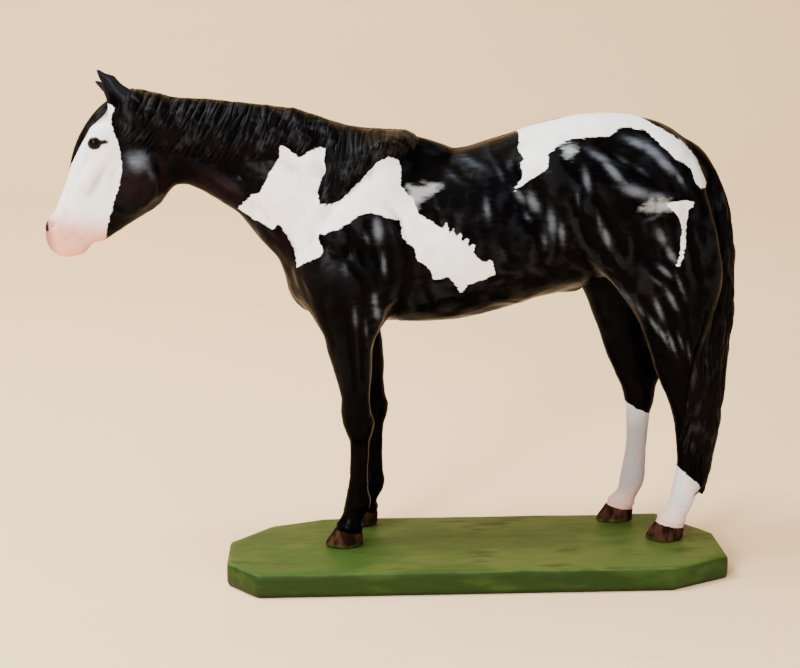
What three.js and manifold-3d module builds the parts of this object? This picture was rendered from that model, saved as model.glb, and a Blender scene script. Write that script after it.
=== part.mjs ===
// A hand-painted figurine of a stock horse standing square on a hand-cut green base.
// Millimetres, +Z up. The origin is the middle of the base's underside, -X is where the horse faces,
// and -Y is the horse's left (near) side.
import * as THREE from "three";
import { mergeVertices } from "three/addons/utils/BufferGeometryUtils.js";
import Module from "manifold-3d";

const wasm = await Module();
wasm.setup();

// Driving sizes of the horse.
const WITHERS = 172; // height of the horse at its withers, above the base
const UNIT = WITHERS / 100; // every place on the horse is in hundredths of that height
const CARVING_CELL = 1.5; // spacing of the grid on which the horse's surface is found
const HORSE_TRIANGLES = 9200;

// Driving sizes of the base. A corner cut is [along the length, across the width].
const BASE_THICKNESS = 10.5;
const BASE_EASED_EDGE = 0.9; // small round on the base's top and bottom edges
const HEAD_END_MARGIN = 42; // base in front of the fore toes
const TAIL_END_MARGIN = 15; // base behind the hind heels
const NEAR_MARGIN = 28; // base beside the near hooves
const FAR_MARGIN = 1.5; // base beside the far hooves
const NEAR_HEAD_CUT = [13, 15];
const NEAR_TAIL_CUT = [26, 13];
const FAR_TAIL_CUT = [20, 27];
const FAR_HEAD_CUT = [41, 28];
const FAR_HEAD_BULGE = 6; // how far the long far corner swells out past a straight cut

// Places of the feet on the ground, in hundredths: where each toe is and how wide the horse stands.
const FORE_TOE = -37.6;
const HIND_TOE = 33.8;
const FAR_FORE_STEP = 4.2; // the far foreleg stands this much further back
const NEAR_HIND_STEP = 10.2; // and the near hind leg this much
const FORE_STANCE = 7.7; // half the distance between the fore hooves
const HIND_STANCE = 7.2;
const HOOF_LENGTH = 9.3;
const HOOF_BREADTH = 3.5; // half the breadth of a hoof at the ground

const BLEND = 4.2; // how softly one muscle runs into the next, in hundredths
const TIGHT_BLEND = 1.6; // and how softly hair and ears do
const BELOW_GROUND = -3; // the legs are modelled down to here and cut off at the base

const NEAR = -1;
const FAR = 1;
const ACROSS = new THREE.Vector3(0, 1, 0);

// A form is an oval tube through stations [x, y, z, depth, breadth, egg], in hundredths.
// Depth and breadth are half sizes, and egg makes the upper side broader than the lower.
function form(stations, { blend = BLEND, across = ACROSS, steps = 5 } = {}) {
  const middles = stations.map(([x, y, z]) => new THREE.Vector3(x, y, z));
  const halves = stations.map(([, , , a, b, egg = 0]) => new THREE.Vector3(a, b, egg));
  const path = new THREE.CatmullRomCurve3(middles, false, "catmullrom", 0.5);
  const sizes = new THREE.CatmullRomCurve3(halves, false, "catmullrom", 0.5);
  const count = (stations.length - 1) * steps;
  return {
    blend,
    across,
    points: Array.from({ length: count + 1 }, (_, i) => path.getPoint(i / count)),
    sizes: Array.from({ length: count + 1 }, (_, i) => sizes.getPoint(i / count)),
  };
}

// One stretch of a form, ready for measuring distances to it.
function stretchesOf(shape) {
  return shape.points.slice(1).map((end, i) => {
    const start = shape.points[i];
    const run = end.clone().sub(start);
    const upward = shape.across.clone().cross(run).normalize();
    if (upward.z < 0) upward.negate();
    return { start, run, upward, length2: run.lengthSq(), from: shape.sizes[i], to: shape.sizes[i + 1] };
  });
}

// Signed distance from a point to one stretch of a form, near enough for blending.
const off = new THREE.Vector3();
function distanceTo(stretch, across, p) {
  const { start, run, upward, length2, from, to } = stretch;
  off.subVectors(p, start);
  const t = Math.min(Math.max(off.dot(run) / length2, 0), 1);
  off.addScaledVector(run, -t);
  const a = from.x + (to.x - from.x) * t;
  const egg = from.z + (to.z - from.z) * t;
  const swell = 1 + egg * Math.min(Math.max(off.dot(upward) / a, -1), 1);
  const ratio = a / ((from.y + (to.y - from.y) * t) * swell);
  const side = off.dot(across);
  const upright = Math.max(off.lengthSq() - side * side, 0);
  const oval = Math.sqrt(upright + (side * ratio) ** 2);
  const steepness = oval > 1e-6 ? Math.sqrt(upright + (side * ratio * ratio) ** 2) / oval : 1;
  return (oval - a) / steepness;
}

// Joins two distances with a soft fillet.
function softMin(a, b, blend) {
  const h = Math.max(blend - Math.abs(a - b), 0) / blend;
  return Math.min(a, b) - (h * h * blend) / 4;
}

// Joins or cuts two distances with a soft edge.
function softMax(a, b, blend) {
  return -softMin(-a, -b, blend);
}

function smoothstep(low, high, x) {
  return THREE.MathUtils.smoothstep(x, low, high);
}

// Reads a line through points [x, value], straight between them.
function along(line, x) {
  if (x <= line[0][0]) return line[0][1];
  for (let i = 1; i < line.length; i++) {
    if (x <= line[i][0]) {
      const t = (x - line[i - 1][0]) / (line[i][0] - line[i - 1][0]);
      return THREE.MathUtils.lerp(line[i - 1][1], line[i][1], t);
    }
  }
  return line[line.length - 1][1];
}

function trunk() {
  return [
    form([
      [-35.4, 0, 68.8, 10.6, 10],
      [-29, 0, 74.5, 17.5, 13.4],
      [-20, 0, 79.2, 22.8, 15.2, -0.16],
      [-10, 0, 77.6, 21.3, 16.8, -0.12],
      [0, 0, 78.9, 20.6, 18.2, -0.08],
      [10, 0, 81.8, 20.4, 18.4, -0.05],
      [20, 0, 84.6, 20.8, 17.6],
      [29, 0, 87, 20.3, 16.8],
      [37, 0, 88.6, 18.2, 15.6],
      [44, 0, 89.2, 13.4, 12.4],
    ]),
    form([[-39, 0, 66.5, 7, 6.4], [-31, 0, 66, 9.5, 9]]),
    form([[21.6, 0, 65.4, 2.2, 2.2], [25, 0, 65.2, 2.2, 2.2]], { blend: TIGHT_BLEND }),
  ];
}

function neck() {
  return [
    form([
      [-77, 0, 100.8, 9.6, 4.9],
      [-67, 0, 99.9, 9.9, 5.3, -0.1],
      [-56.4, 0, 96.8, 12, 6.2, -0.15],
      [-47.4, 0, 93.2, 14.4, 7.7, -0.15],
      [-40, 0, 88, 17, 9.8, -0.12],
      [-31.5, 0, 83, 19.4, 12],
    ]),
  ];
}

function head() {
  return [
    form([
      [-81.5, 0, 104.4, 6.4, 5.2],
      [-86.3, 0, 99, 8.6, 6.2],
      [-91.5, 0, 91.2, 7.4, 4.8],
      [-95.9, 0, 84.2, 6.0, 3.7],
      [-99.4, 0, 79.4, 4.9, 3.5],
    ]),
    form([[-82.2, 0, 91.2, 7.6, 5.6], [-85.6, 0, 87.6, 6.2, 4.8], [-92, 0, 80.6, 3.6, 2.8]]),
    form([[-100.9, 0, 79.2, 3.8, 3.6], [-101.4, 0, 76.9, 3.1, 3.2]], { blend: 2.4 }),
    form([[-97.4, 0, 75.9, 2.5, 2.5], [-99.6, 0, 75.7, 2.3, 2.4]], { blend: 2.4 }),
  ];
}

// The bony and fleshy parts of one side of the head: brow, cheekbone, jaw disc and nostril.
function face(side) {
  return [
    form([[-89.4, side * 5.3, 102.6, 2.6, 1.5], [-91.6, side * 5.1, 100.4, 2.0, 1.3]], { blend: 2.4 }),
    form([[-89.5, side * 5.2, 98.4, 1.3, 1.2], [-94.6, side * 4.1, 91.6, 0.9, 0.8]], { blend: 2.4 }),
    form([[-82.8, side * 4.3, 91.6, 6.0, 2.1], [-85.4, side * 3.9, 88.2, 4.4, 1.6]], { blend: 2.4 }),
    form([[-102.3, side * 2.7, 81.3, 1.9, 1.3], [-101.2, side * 2.9, 79.2, 1.6, 1.1]], { blend: TIGHT_BLEND }),
  ];
}

function ear(side) {
  return form(
    [
      [-84.6, side * 3.5, 109.2, 3.4, 2.0],
      [-86.2, side * 3.8, 112.4, 2.6, 1.5],
      [-88.3, side * 3.8, 115.4, 1.5, 0.9],
      [-90.2, side * 3.6, 117.8, 0.5, 0.45],
    ],
    { blend: TIGHT_BLEND },
  );
}

// Shoulder blade, upper arm down to the elbow, and breast muscle.
function shoulder(side) {
  const firm = { blend: 2.8 };
  return [
    form([[-22, side * 7.2, 95, 5.4, 4.4], [-28.5, side * 9.6, 84, 6.4, 4.8], [-36, side * 9.4, 72.4, 5.6, 4.8]]),
    form([[-36.6, side * 9.2, 70.4, 5.6, 4.8], [-31, side * 9.8, 68, 7, 5.2], [-25.6, side * 9.8, 68.6, 6, 4.8]]),
    form([[-22.4, side * 11, 78, 4.6, 3.8], [-25, side * 10.6, 68, 4.8, 4.2], [-25.8, side * 9.6, 60.6, 3.2, 3]], firm),
    form([[-39.4, side * 5.6, 67, 5, 4.8], [-35.6, side * 6.5, 61, 4.6, 4.2]], firm),
  ];
}

function foreleg(side, step) {
  const y = (z, top) => side * THREE.MathUtils.lerp(FORE_STANCE, top, smoothstep(15, 62, z));
  const place = (x, z) => [x + step * (1 - smoothstep(40, 68, z)), y(z, 9.4), z];
  const at = (x, z, depth, breadth) => [...place(x, z), depth, breadth];
  return [
    form([
      at(-31.6, 68, 8.6, 5.8),
      at(-31.4, 60, 7.5, 5.2),
      at(-31, 52, 5.4, 4.3),
      at(-30.3, 45, 4.3, 3.5),
      at(-30, 39, 3.5, 2.9),
      at(-29.8, 34.4, 3.7, 3.3),
      at(-29.3, 30.8, 3.4, 3.1),
      at(-29.1, 27, 2.5, 2.1),
      at(-29.25, 19, 2.3, 1.85),
      at(-29.5, 14, 2.7, 2.15),
      at(-29.6, 11, 3.2, 2.75),
      at(-31, 7.4, 2.5, 2.3),
      at(-31.9, 4.6, 2.9, 2.75),
    ]),
    form([at(-33.5, 61, 3.4, 3.4), at(-33.2, 51, 2.8, 3.2), at(-31.8, 42, 1.6, 2)], { blend: 2.4 }),
    form([at(-26.9, 32.2, 1.3, 1.3), at(-27.1, 30.2, 1.1, 1.1)], { blend: TIGHT_BLEND }),
  ];
}

// Where a hind leg's parts move to when the hoof steps back: the hip stays and the rest follows.
function hindShift(z, step) {
  return step * (0.88 * (1 - smoothstep(60, 88, z)) + 0.12 * (1 - smoothstep(20, 36, z)));
}

function hindleg(side, step) {
  const y = (z, top) => side * THREE.MathUtils.lerp(HIND_STANCE, top, smoothstep(25, 68, z));
  const at = (x, z, depth, breadth) => [x + hindShift(z, step), y(z, 10.2), z, depth, breadth];
  const muscle = (x, out, z, depth, breadth) => [x + hindShift(z, step), side * out, z, depth, breadth];
  return [
    form([
      at(41, 88, 13, 6.6),
      at(40.4, 76, 13.6, 6.8),
      at(39.6, 66, 11.2, 6.0),
      at(39.4, 56, 7.7, 4.8),
      at(40.2, 47.5, 5.7, 3.7),
      at(42.6, 40.6, 5.0, 3.1),
      at(43.9, 34.5, 4.0, 3.3),
      at(43.7, 28.5, 3.0, 2.6),
      at(43.4, 20, 2.7, 2.1),
      at(42.8, 11.9, 3.2, 2.8),
      at(41.3, 7.4, 2.6, 2.4),
      at(39.8, 4.4, 3.1, 2.9),
    ]),
    form([muscle(14, 12.4, 94.5, 5, 4.6), muscle(24, 12.6, 92, 9, 6), muscle(35, 11.6, 86, 10, 6.2)]),
    form([muscle(44, 7.4, 93, 6.5, 5), muscle(49, 8.8, 82, 5.6, 4.8), muscle(47.6, 9.4, 69, 4.8, 4.4), muscle(44.6, 8.8, 57, 3.2, 3)], {
      blend: 2.8,
    }),
    form([muscle(29.5, 13.2, 80, 7, 4.4), muscle(32, 12.6, 68.5, 5.4, 4.4), muscle(35.6, 10.8, 60, 3.6, 3.6)], { blend: 2.8 }),
    form([muscle(38.6, 11, 60, 4.6, 3.4), muscle(39.8, 9.8, 50, 3.2, 2.6)], { blend: 2.4 }),
    form([muscle(46.2, 8.4, 44.5, 1.5, 1.3), muscle(47.6, 8, 39, 1.4, 1.5)], { blend: 2.4 }),
  ];
}

// A hoof flares from the coronet to the ground, with a long sloping toe.
function hoof(side, stance, toe) {
  const y = side * stance;
  const sole = toe + HOOF_LENGTH / 2;
  return form(
    [
      [sole + 1.5, y, 4.2, 3.1, 2.9],
      [sole, y, 0, HOOF_LENGTH / 2, HOOF_BREADTH],
      [sole - 1.1, y, BELOW_GROUND, 5, 3.9],
    ],
    { blend: TIGHT_BLEND },
  );
}

// The tail lies close behind the buttocks and against the near hind leg, and falls to a point.
function tail() {
  return form(
    [
      [46.5, 0, 98.8, 4, 3],
      [53.8, -0.5, 95.4, 3.4, 3.2],
      [58, -1.2, 86, 3.8, 3.6],
      [58.4, -2, 74, 5.3, 4.6],
      [58.2, -3, 62, 5.8, 5],
      [57.6, -4, 50, 5.6, 4.9],
      [57.4, -5, 38, 4.9, 4.5],
      [57.2, -5.8, 28, 4.2, 3.8],
      [57.4, -6.4, 19, 2.6, 2.6],
      [58, -6.6, 11.5, 0.6, 0.6],
    ],
    { blend: TIGHT_BLEND },
  );
}

// The mane lies on the near side of the crest in locks, as a raised layer on the neck, and stands
// a little above the crest on the far side.
const MANE_EDGE = [
  [-84, 106], [-72, 101], [-60, 97.5], [-47, 96.5], [-41, 93], [-37.5, 94], [-33, 89], [-26, 94], [-19, 97], [-15, 99],
];
const CREST = [[-84, 110], [-66, 109.4], [-54, 108], [-45, 106], [-38, 104], [-24, 102], [-15, 99]];
const MANE_THICKNESS = 1.5;
const LOCKS_PER_LENGTH = 0.16;
function maneRelief(x, y, z) {
  const inLength = smoothstep(-87, -80, x) * (1 - smoothstep(-17.5, -14, x));
  const inNear = smoothstep(0, 4, z - along(MANE_EDGE, x)) * (1 - smoothstep(-0.5, 1.5, y));
  const inFar = smoothstep(-3.6, 0, z - along(CREST, x)) * smoothstep(-1.5, 0.5, y);
  const lock = 0.82 + 0.18 * Math.cos(2 * Math.PI * LOCKS_PER_LENGTH * (x + 0.35 * z));
  return MANE_THICKNESS * inLength * Math.max(inNear * lock, inFar);
}

// The forelock falls between the ears down the middle of the forehead.
function forelock() {
  return form(
    [
      [-82, 0, 111.0, 1.5, 2.4],
      [-88.3, -0.4, 108.9, 1.4, 2.0],
      [-93.8, -0.6, 102.4, 1.1, 1.6],
      [-96.2, -0.6, 96.8, 0.9, 1.1],
      [-98, -0.5, 93.2, 0.4, 0.5],
    ],
    { blend: TIGHT_BLEND },
  );
}

function allForms() {
  const farFore = FAR_FORE_STEP;
  const nearHind = NEAR_HIND_STEP;
  return [
    ...trunk(),
    ...neck(),
    ...head(),
    ...[NEAR, FAR].flatMap((side) => [...shoulder(side), ...face(side), ear(side)]),
    ...foreleg(NEAR, 0),
    ...foreleg(FAR, farFore),
    ...hindleg(NEAR, nearHind),
    ...hindleg(FAR, 0),
    hoof(NEAR, FORE_STANCE, FORE_TOE),
    hoof(FAR, FORE_STANCE, FORE_TOE + farFore),
    hoof(NEAR, HIND_STANCE, HIND_TOE + nearHind),
    hoof(FAR, HIND_STANCE, HIND_TOE),
    forelock(),
    tail(),
  ];
}

// A grid of distances around the horse.
function distanceGrid(forms, cell) {
  const low = new THREE.Vector3(-110, -24, BELOW_GROUND - 8);
  const high = new THREE.Vector3(69, 24, 122);
  const count = high.clone().sub(low).divideScalar(cell).ceil().addScalar(1);
  const [nx, ny, nz] = count.toArray();
  const values = new Float32Array(nx * ny * nz).fill(50);
  const index = (i, j, k) => i + nx * (j + ny * k);
  const last = count.clone().addScalar(-1);
  const p = new THREE.Vector3();
  function visit(box, work) {
    const from = box.min.clone().sub(low).divideScalar(cell).floor().clamp(new THREE.Vector3(), last);
    const to = box.max.clone().sub(low).divideScalar(cell).ceil().clamp(new THREE.Vector3(), last);
    for (let k = from.z; k <= to.z; k++)
      for (let j = from.y; j <= to.y; j++)
        for (let i = from.x; i <= to.x; i++) {
          p.set(low.x + i * cell, low.y + j * cell, low.z + k * cell);
          work(index(i, j, k));
        }
  }
  const own = new Float32Array(values.length);
  for (const shape of forms) {
    const whole = new THREE.Box3();
    own.fill(50);
    for (const stretch of stretchesOf(shape)) {
      const { start, run, from, to } = stretch;
      const reach = Math.max(from.x, from.y, to.x, to.y) * 1.15 + shape.blend + cell;
      const box = new THREE.Box3().setFromPoints([start, start.clone().add(run)]).expandByScalar(reach);
      visit(box, (n) => (own[n] = Math.min(own[n], distanceTo(stretch, shape.across, p))));
      whole.union(box);
    }
    visit(whole, (n) => (values[n] = softMin(values[n], own[n], shape.blend)));
  }
  visit(new THREE.Box3(low, high), (n) => {
    if (Math.abs(values[n]) < 6) values[n] -= maneRelief(p.x, p.y, p.z);
  });
  return { values, index, low, cell, nx, ny, nz };
}

// The zero surface of a grid, as triangles: each cell is split into six tetrahedra.
function surfaceOf(grid) {
  const { values, index, low, cell, nx, ny, nz } = grid;
  const corner = [[0, 0, 0], [1, 0, 0], [1, 1, 0], [0, 1, 0], [0, 0, 1], [1, 0, 1], [1, 1, 1], [0, 1, 1]];
  const tetrahedra = [[0, 5, 1, 6], [0, 1, 2, 6], [0, 2, 3, 6], [0, 3, 7, 6], [0, 7, 4, 6], [0, 4, 5, 6]];
  const places = [];
  const triangles = [];
  const known = new Map();
  const total = nx * ny * nz;
  function crossing(a, b) {
    const key = Math.min(a, b) * total + Math.max(a, b);
    let found = known.get(key);
    if (found === undefined) {
      const t = values[a] / (values[a] - values[b]);
      const spot = (n) => [n % nx, Math.floor(n / nx) % ny, Math.floor(n / (nx * ny))];
      const [from, to] = [spot(a), spot(b)];
      found = places.length / 3;
      [low.x, low.y, low.z].forEach((origin, axis) =>
        places.push(origin + cell * THREE.MathUtils.lerp(from[axis], to[axis], t)),
      );
      known.set(key, found);
    }
    return found;
  }
  for (let k = 0; k + 1 < nz; k++)
    for (let j = 0; j + 1 < ny; j++)
      for (let i = 0; i + 1 < nx; i++) {
        const ids = corner.map(([a, b, c]) => index(i + a, j + b, k + c));
        const inside = ids.filter((n) => values[n] < 0).length;
        if (inside === 0 || inside === 8) continue;
        for (const t of tetrahedra) {
          const n = t.map((c) => ids[c]);
          const within = n.filter((c) => values[c] < 0);
          const without = n.filter((c) => values[c] >= 0);
          if (!within.length || !without.length) continue;
          const odd = tetraParity(n, within, without);
          if (within.length === 1) {
            const [a, b, c] = without.map((o) => crossing(within[0], o));
            triangles.push(...(odd ? [a, c, b] : [a, b, c]));
          } else if (without.length === 1) {
            const [a, b, c] = within.map((o) => crossing(o, without[0]));
            triangles.push(...(odd ? [a, c, b] : [a, b, c]));
          } else {
            const [a, b, c, d] = [[0, 0], [0, 1], [1, 1], [1, 0]].map(([w, o]) => crossing(within[w], without[o]));
            triangles.push(...(odd ? [a, c, b, a, d, c] : [a, b, c, a, c, d]));
          }
        }
      }
  return { places, triangles };
}

// Whether the order inside-corners-first turns the tetrahedron over.
function tetraParity(original, within, without) {
  const order = [...within, ...without].map((n) => original.indexOf(n));
  let swaps = 0;
  for (let a = 0; a < 4; a++) for (let b = a + 1; b < 4; b++) if (order[a] > order[b]) swaps++;
  return swaps % 2 === 1;
}

// Keeps the cheapest item on top.
class Heap {
  items = [];
  push(item) {
    const { items } = this;
    let i = items.push(item) - 1;
    while (i > 0) {
      const parent = (i - 1) >> 1;
      if (items[parent].price <= item.price) break;
      items[i] = items[parent];
      i = parent;
    }
    items[i] = item;
  }
  pop() {
    const { items } = this;
    const top = items[0];
    const item = items.pop();
    let i = 0;
    while (items.length) {
      let child = 2 * i + 1;
      if (child >= items.length) break;
      if (child + 1 < items.length && items[child + 1].price < items[child].price) child++;
      if (item.price <= items[child].price) break;
      items[i] = items[child];
      i = child;
    }
    if (items.length) items[i] = item;
    return top;
  }
}

// Thins a closed triangle mesh to the wanted number of triangles, keeping it closed.
// Each collapse goes where the sum of squared distances to the planes around it is least.
function thin({ places, triangles }, wanted) {
  const at = Float64Array.from(places);
  const corners = Int32Array.from(triangles);
  const faceCount = corners.length / 3;
  const quadrics = new Float64Array((at.length / 3) * 10);
  const around = Array.from({ length: at.length / 3 }, () => []);
  const stamp = new Uint32Array(at.length / 3);
  const gone = new Uint8Array(faceCount);
  const normal = [0, 0, 0];
  function measure(ax, ay, az, bx, by, bz, cx, cy, cz) {
    normal[0] = (by - ay) * (cz - az) - (bz - az) * (cy - ay);
    normal[1] = (bz - az) * (cx - ax) - (bx - ax) * (cz - az);
    normal[2] = (bx - ax) * (cy - ay) - (by - ay) * (cx - ax);
    return Math.sqrt(normal[0] ** 2 + normal[1] ** 2 + normal[2] ** 2);
  }
  for (let f = 0; f < faceCount; f++) {
    const [a, b, c] = [3 * corners[3 * f], 3 * corners[3 * f + 1], 3 * corners[3 * f + 2]];
    const size = measure(at[a], at[a + 1], at[a + 2], at[b], at[b + 1], at[b + 2], at[c], at[c + 1], at[c + 2]);
    const [x, y, z] = size > 1e-12 ? [normal[0] / size, normal[1] / size, normal[2] / size] : [0, 0, 0];
    const w = -(x * at[a] + y * at[a + 1] + z * at[a + 2]);
    const q = [x * x, x * y, x * z, x * w, y * y, y * z, y * w, z * z, z * w, w * w];
    for (const v of [a / 3, b / 3, c / 3]) {
      around[v].push(f);
      for (let i = 0; i < 10; i++) quadrics[10 * v + i] += q[i] * size;
    }
  }

  const q = new Float64Array(10);
  const place = new Float64Array(3);
  const cost = (x, y, z) =>
    q[0] * x * x + 2 * q[1] * x * y + 2 * q[2] * x * z + 2 * q[3] * x + q[4] * y * y +
    2 * q[5] * y * z + 2 * q[6] * y + q[7] * z * z + 2 * q[8] * z + q[9];
  // Finds the best place for a and b to meet, leaves it in place and returns its price.
  function weigh(a, b) {
    for (let i = 0; i < 10; i++) q[i] = quadrics[10 * a + i] + quadrics[10 * b + i];
    const [ax, ay, az] = [at[3 * a], at[3 * a + 1], at[3 * a + 2]];
    const [bx, by, bz] = [at[3 * b], at[3 * b + 1], at[3 * b + 2]];
    const [mx, my, mz] = [(ax + bx) / 2, (ay + by) / 2, (az + bz) / 2];
    const span2 = (ax - bx) ** 2 + (ay - by) ** 2 + (az - bz) ** 2;
    let least = Infinity;
    const offer = (x, y, z) => {
      const c = cost(x, y, z);
      if (c >= least) return;
      least = c;
      place[0] = x;
      place[1] = y;
      place[2] = z;
    };
    offer(mx, my, mz);
    offer(ax, ay, az);
    offer(bx, by, bz);
    const c00 = q[4] * q[7] - q[5] * q[5];
    const c01 = q[2] * q[5] - q[1] * q[7];
    const c02 = q[1] * q[5] - q[2] * q[4];
    const det = q[0] * c00 + q[1] * c01 + q[2] * c02;
    if (det > 1e-6 * (q[0] + q[4] + q[7]) ** 3) {
      const c11 = q[0] * q[7] - q[2] * q[2];
      const c12 = q[1] * q[2] - q[0] * q[5];
      const c22 = q[0] * q[4] - q[1] * q[1];
      const x = -(c00 * q[3] + c01 * q[6] + c02 * q[8]) / det;
      const y = -(c01 * q[3] + c11 * q[6] + c12 * q[8]) / det;
      const z = -(c02 * q[3] + c12 * q[6] + c22 * q[8]) / det;
      if ((x - mx) ** 2 + (y - my) ** 2 + (z - mz) ** 2 < 2 * span2) offer(x, y, z);
    }
    return Math.max(least, 0) + 1e-5 * span2;
  }

  function neighbours(v) {
    const found = [];
    for (const f of around[v])
      for (let i = 3 * f; i < 3 * f + 3; i++)
        if (corners[i] !== v && !found.includes(corners[i])) found.push(corners[i]);
    return found;
  }
  // Whether moving v to the new place turns one of its faces, other than those shared with w, over.
  function turnsOver(v, w) {
    for (const f of around[v]) {
      const ids = [corners[3 * f], corners[3 * f + 1], corners[3 * f + 2]];
      if (ids.includes(w)) continue;
      const old = ids.flatMap((n) => [at[3 * n], at[3 * n + 1], at[3 * n + 2]]);
      const size = measure(...old);
      const [x, y, z] = normal;
      const moved = ids.flatMap((n, i) => (n === v ? [...place] : old.slice(3 * i, 3 * i + 3)));
      const newSize = measure(...moved);
      if (x * normal[0] + y * normal[1] + z * normal[2] < 0.3 * size * newSize || newSize < 1e-12) return true;
    }
    return false;
  }

  const heap = new Heap();
  const offerPair = (a, b) => heap.push({ price: weigh(a, b), a, b, seen: stamp[a] + stamp[b] });
  around.forEach((_, v) => neighbours(v).forEach((w) => v < w && offerPair(v, w)));
  let left = faceCount;
  while (left > wanted && heap.items.length) {
    const { a, b, seen } = heap.pop();
    if (!around[a].length || !around[b].length || seen !== stamp[a] + stamp[b]) continue;
    const beside = neighbours(a);
    if (!beside.includes(b) || neighbours(b).filter((v) => beside.includes(v)).length !== 2) continue;
    weigh(a, b);
    if (turnsOver(a, b) || turnsOver(b, a)) continue;
    at.set(place, 3 * a);
    quadrics.set(q, 10 * a);
    for (const f of around[b]) {
      const ids = [corners[3 * f], corners[3 * f + 1], corners[3 * f + 2]];
      if (ids.includes(a)) {
        ids.filter((v) => v !== b).forEach((v) => around[v].splice(around[v].indexOf(f), 1));
        gone[f] = 1;
        left--;
      } else {
        corners[3 * f + ids.indexOf(b)] = a;
        around[a].push(f);
      }
    }
    around[b] = [];
    stamp[a]++;
    stamp[b]++;
    neighbours(a).forEach((v) => offerPair(a, v));
  }
  return { places: at, triangles: Array.from(corners).filter((_, i) => !gone[Math.floor(i / 3)]) };
}

// Joins the corners that the faces of a box or an extrusion keep apart.
function joined(geometry) {
  geometry.deleteAttribute("normal");
  geometry.deleteAttribute("uv");
  return mergeVertices(geometry, 1e-4);
}

function solidOf(geometry) {
  return new wasm.Manifold(
    new wasm.Mesh({
      numProp: 3,
      vertProperties: geometry.attributes.position.array,
      triVerts: new Uint32Array(geometry.index.array),
    }),
  );
}

function geometryOf(solid) {
  const mesh = solid.getMesh();
  const geometry = new THREE.BufferGeometry();
  geometry.setAttribute("position", new THREE.BufferAttribute(mesh.vertProperties, 3));
  geometry.setIndex(new THREE.BufferAttribute(mesh.triVerts, 1));
  geometry.computeVertexNormals();
  return geometry;
}

// The base's outline on the ground, seen from above, from the near head corner round to the far one.
const toeX = FORE_TOE * UNIT;
const heelX = (HIND_TOE + NEAR_HIND_STEP + HOOF_LENGTH) * UNIT;
const halfTread = (Math.max(FORE_STANCE, HIND_STANCE) + HOOF_BREADTH) * UNIT;
const baseLength = heelX - toeX + HEAD_END_MARGIN + TAIL_END_MARGIN;
const baseWidth = 2 * halfTread + NEAR_MARGIN + FAR_MARGIN;
const horseX = -baseLength / 2 + HEAD_END_MARGIN - toeX;
const horseY = baseWidth / 2 - FAR_MARGIN - halfTread;

function baseGeometry() {
  const [x0, x1, y0, y1] = [-baseLength / 2, baseLength / 2, -baseWidth / 2, baseWidth / 2];
  const farHead = [x0 + FAR_HEAD_CUT[0] / 2, y1 - FAR_HEAD_CUT[1] / 2];
  const out = new THREE.Vector2(-FAR_HEAD_CUT[1], FAR_HEAD_CUT[0]).setLength(FAR_HEAD_BULGE);
  const corners = [
    [x0, y0 + NEAR_HEAD_CUT[1]],
    [x0 + NEAR_HEAD_CUT[0], y0],
    [x1 - NEAR_TAIL_CUT[0], y0],
    [x1, y0 + NEAR_TAIL_CUT[1]],
    [x1, y1 - FAR_TAIL_CUT[1]],
    [x1 - FAR_TAIL_CUT[0], y1],
    [x0 + FAR_HEAD_CUT[0], y1],
    [farHead[0] + out.x, farHead[1] + out.y],
    [x0, y1 - FAR_HEAD_CUT[1]],
  ];
  const outline = new THREE.Shape(corners.map(([x, y]) => new THREE.Vector2(x, y)));
  const geometry = new THREE.ExtrudeGeometry(outline, {
    depth: BASE_THICKNESS - 2 * BASE_EASED_EDGE,
    bevelThickness: BASE_EASED_EDGE,
    bevelSize: BASE_EASED_EDGE,
    bevelOffset: -BASE_EASED_EDGE,
    bevelSegments: 3,
  });
  return geometry.translate(0, 0, BASE_EASED_EDGE);
}

function horseGeometry() {
  const carved = thin(surfaceOf(distanceGrid(allForms(), CARVING_CELL / UNIT)), HORSE_TRIANGLES);
  const geometry = new THREE.BufferGeometry();
  geometry.setAttribute("position", new THREE.Float32BufferAttribute(carved.places, 3));
  geometry.setIndex(carved.triangles);
  geometry.scale(UNIT, UNIT, UNIT).translate(horseX, horseY, BASE_THICKNESS);
  const ground = new THREE.BoxGeometry(2 * baseLength, 2 * baseWidth, 2 * BASE_THICKNESS);
  return geometryOf(solidOf(geometry).subtract(solidOf(joined(ground))));
}

const horsePaint = new THREE.MeshStandardMaterial({ color: 0x14110f, roughness: 0.3, metalness: 0 });
const basePaint = new THREE.MeshStandardMaterial({ color: 0x6b7a3a, roughness: 0.6, metalness: 0 });

function named(name, geometry, material) {
  const mesh = new THREE.Mesh(geometry, material);
  mesh.name = name;
  return mesh;
}

const figurine = new THREE.Group();
figurine.add(named("base", baseGeometry(), basePaint));
figurine.add(named("horse", horseGeometry(), horsePaint));

export default figurine;
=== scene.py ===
import math

import bpy
import numpy as np
from bpy.props import FloatProperty, FloatVectorProperty, IntProperty, PointerProperty
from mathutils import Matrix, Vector
from mathutils.bvhtree import BVHTree


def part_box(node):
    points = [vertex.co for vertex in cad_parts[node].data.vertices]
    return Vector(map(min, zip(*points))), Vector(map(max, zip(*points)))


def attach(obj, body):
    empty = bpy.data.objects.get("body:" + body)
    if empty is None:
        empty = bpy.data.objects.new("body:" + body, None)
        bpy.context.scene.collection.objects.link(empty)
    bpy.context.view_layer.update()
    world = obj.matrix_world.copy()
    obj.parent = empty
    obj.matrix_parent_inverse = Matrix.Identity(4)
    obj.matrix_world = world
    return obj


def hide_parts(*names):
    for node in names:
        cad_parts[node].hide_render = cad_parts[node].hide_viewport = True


bl_info = {
    "name": "Painted horse statue",
    "version": (1, 0, 0),
    "blender": (4, 5, 0),
    "location": "3D View > Sidebar > Statue",
    "description": "Carves and paints a standing pinto horse on its green base",
    "category": "Object",
}

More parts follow.
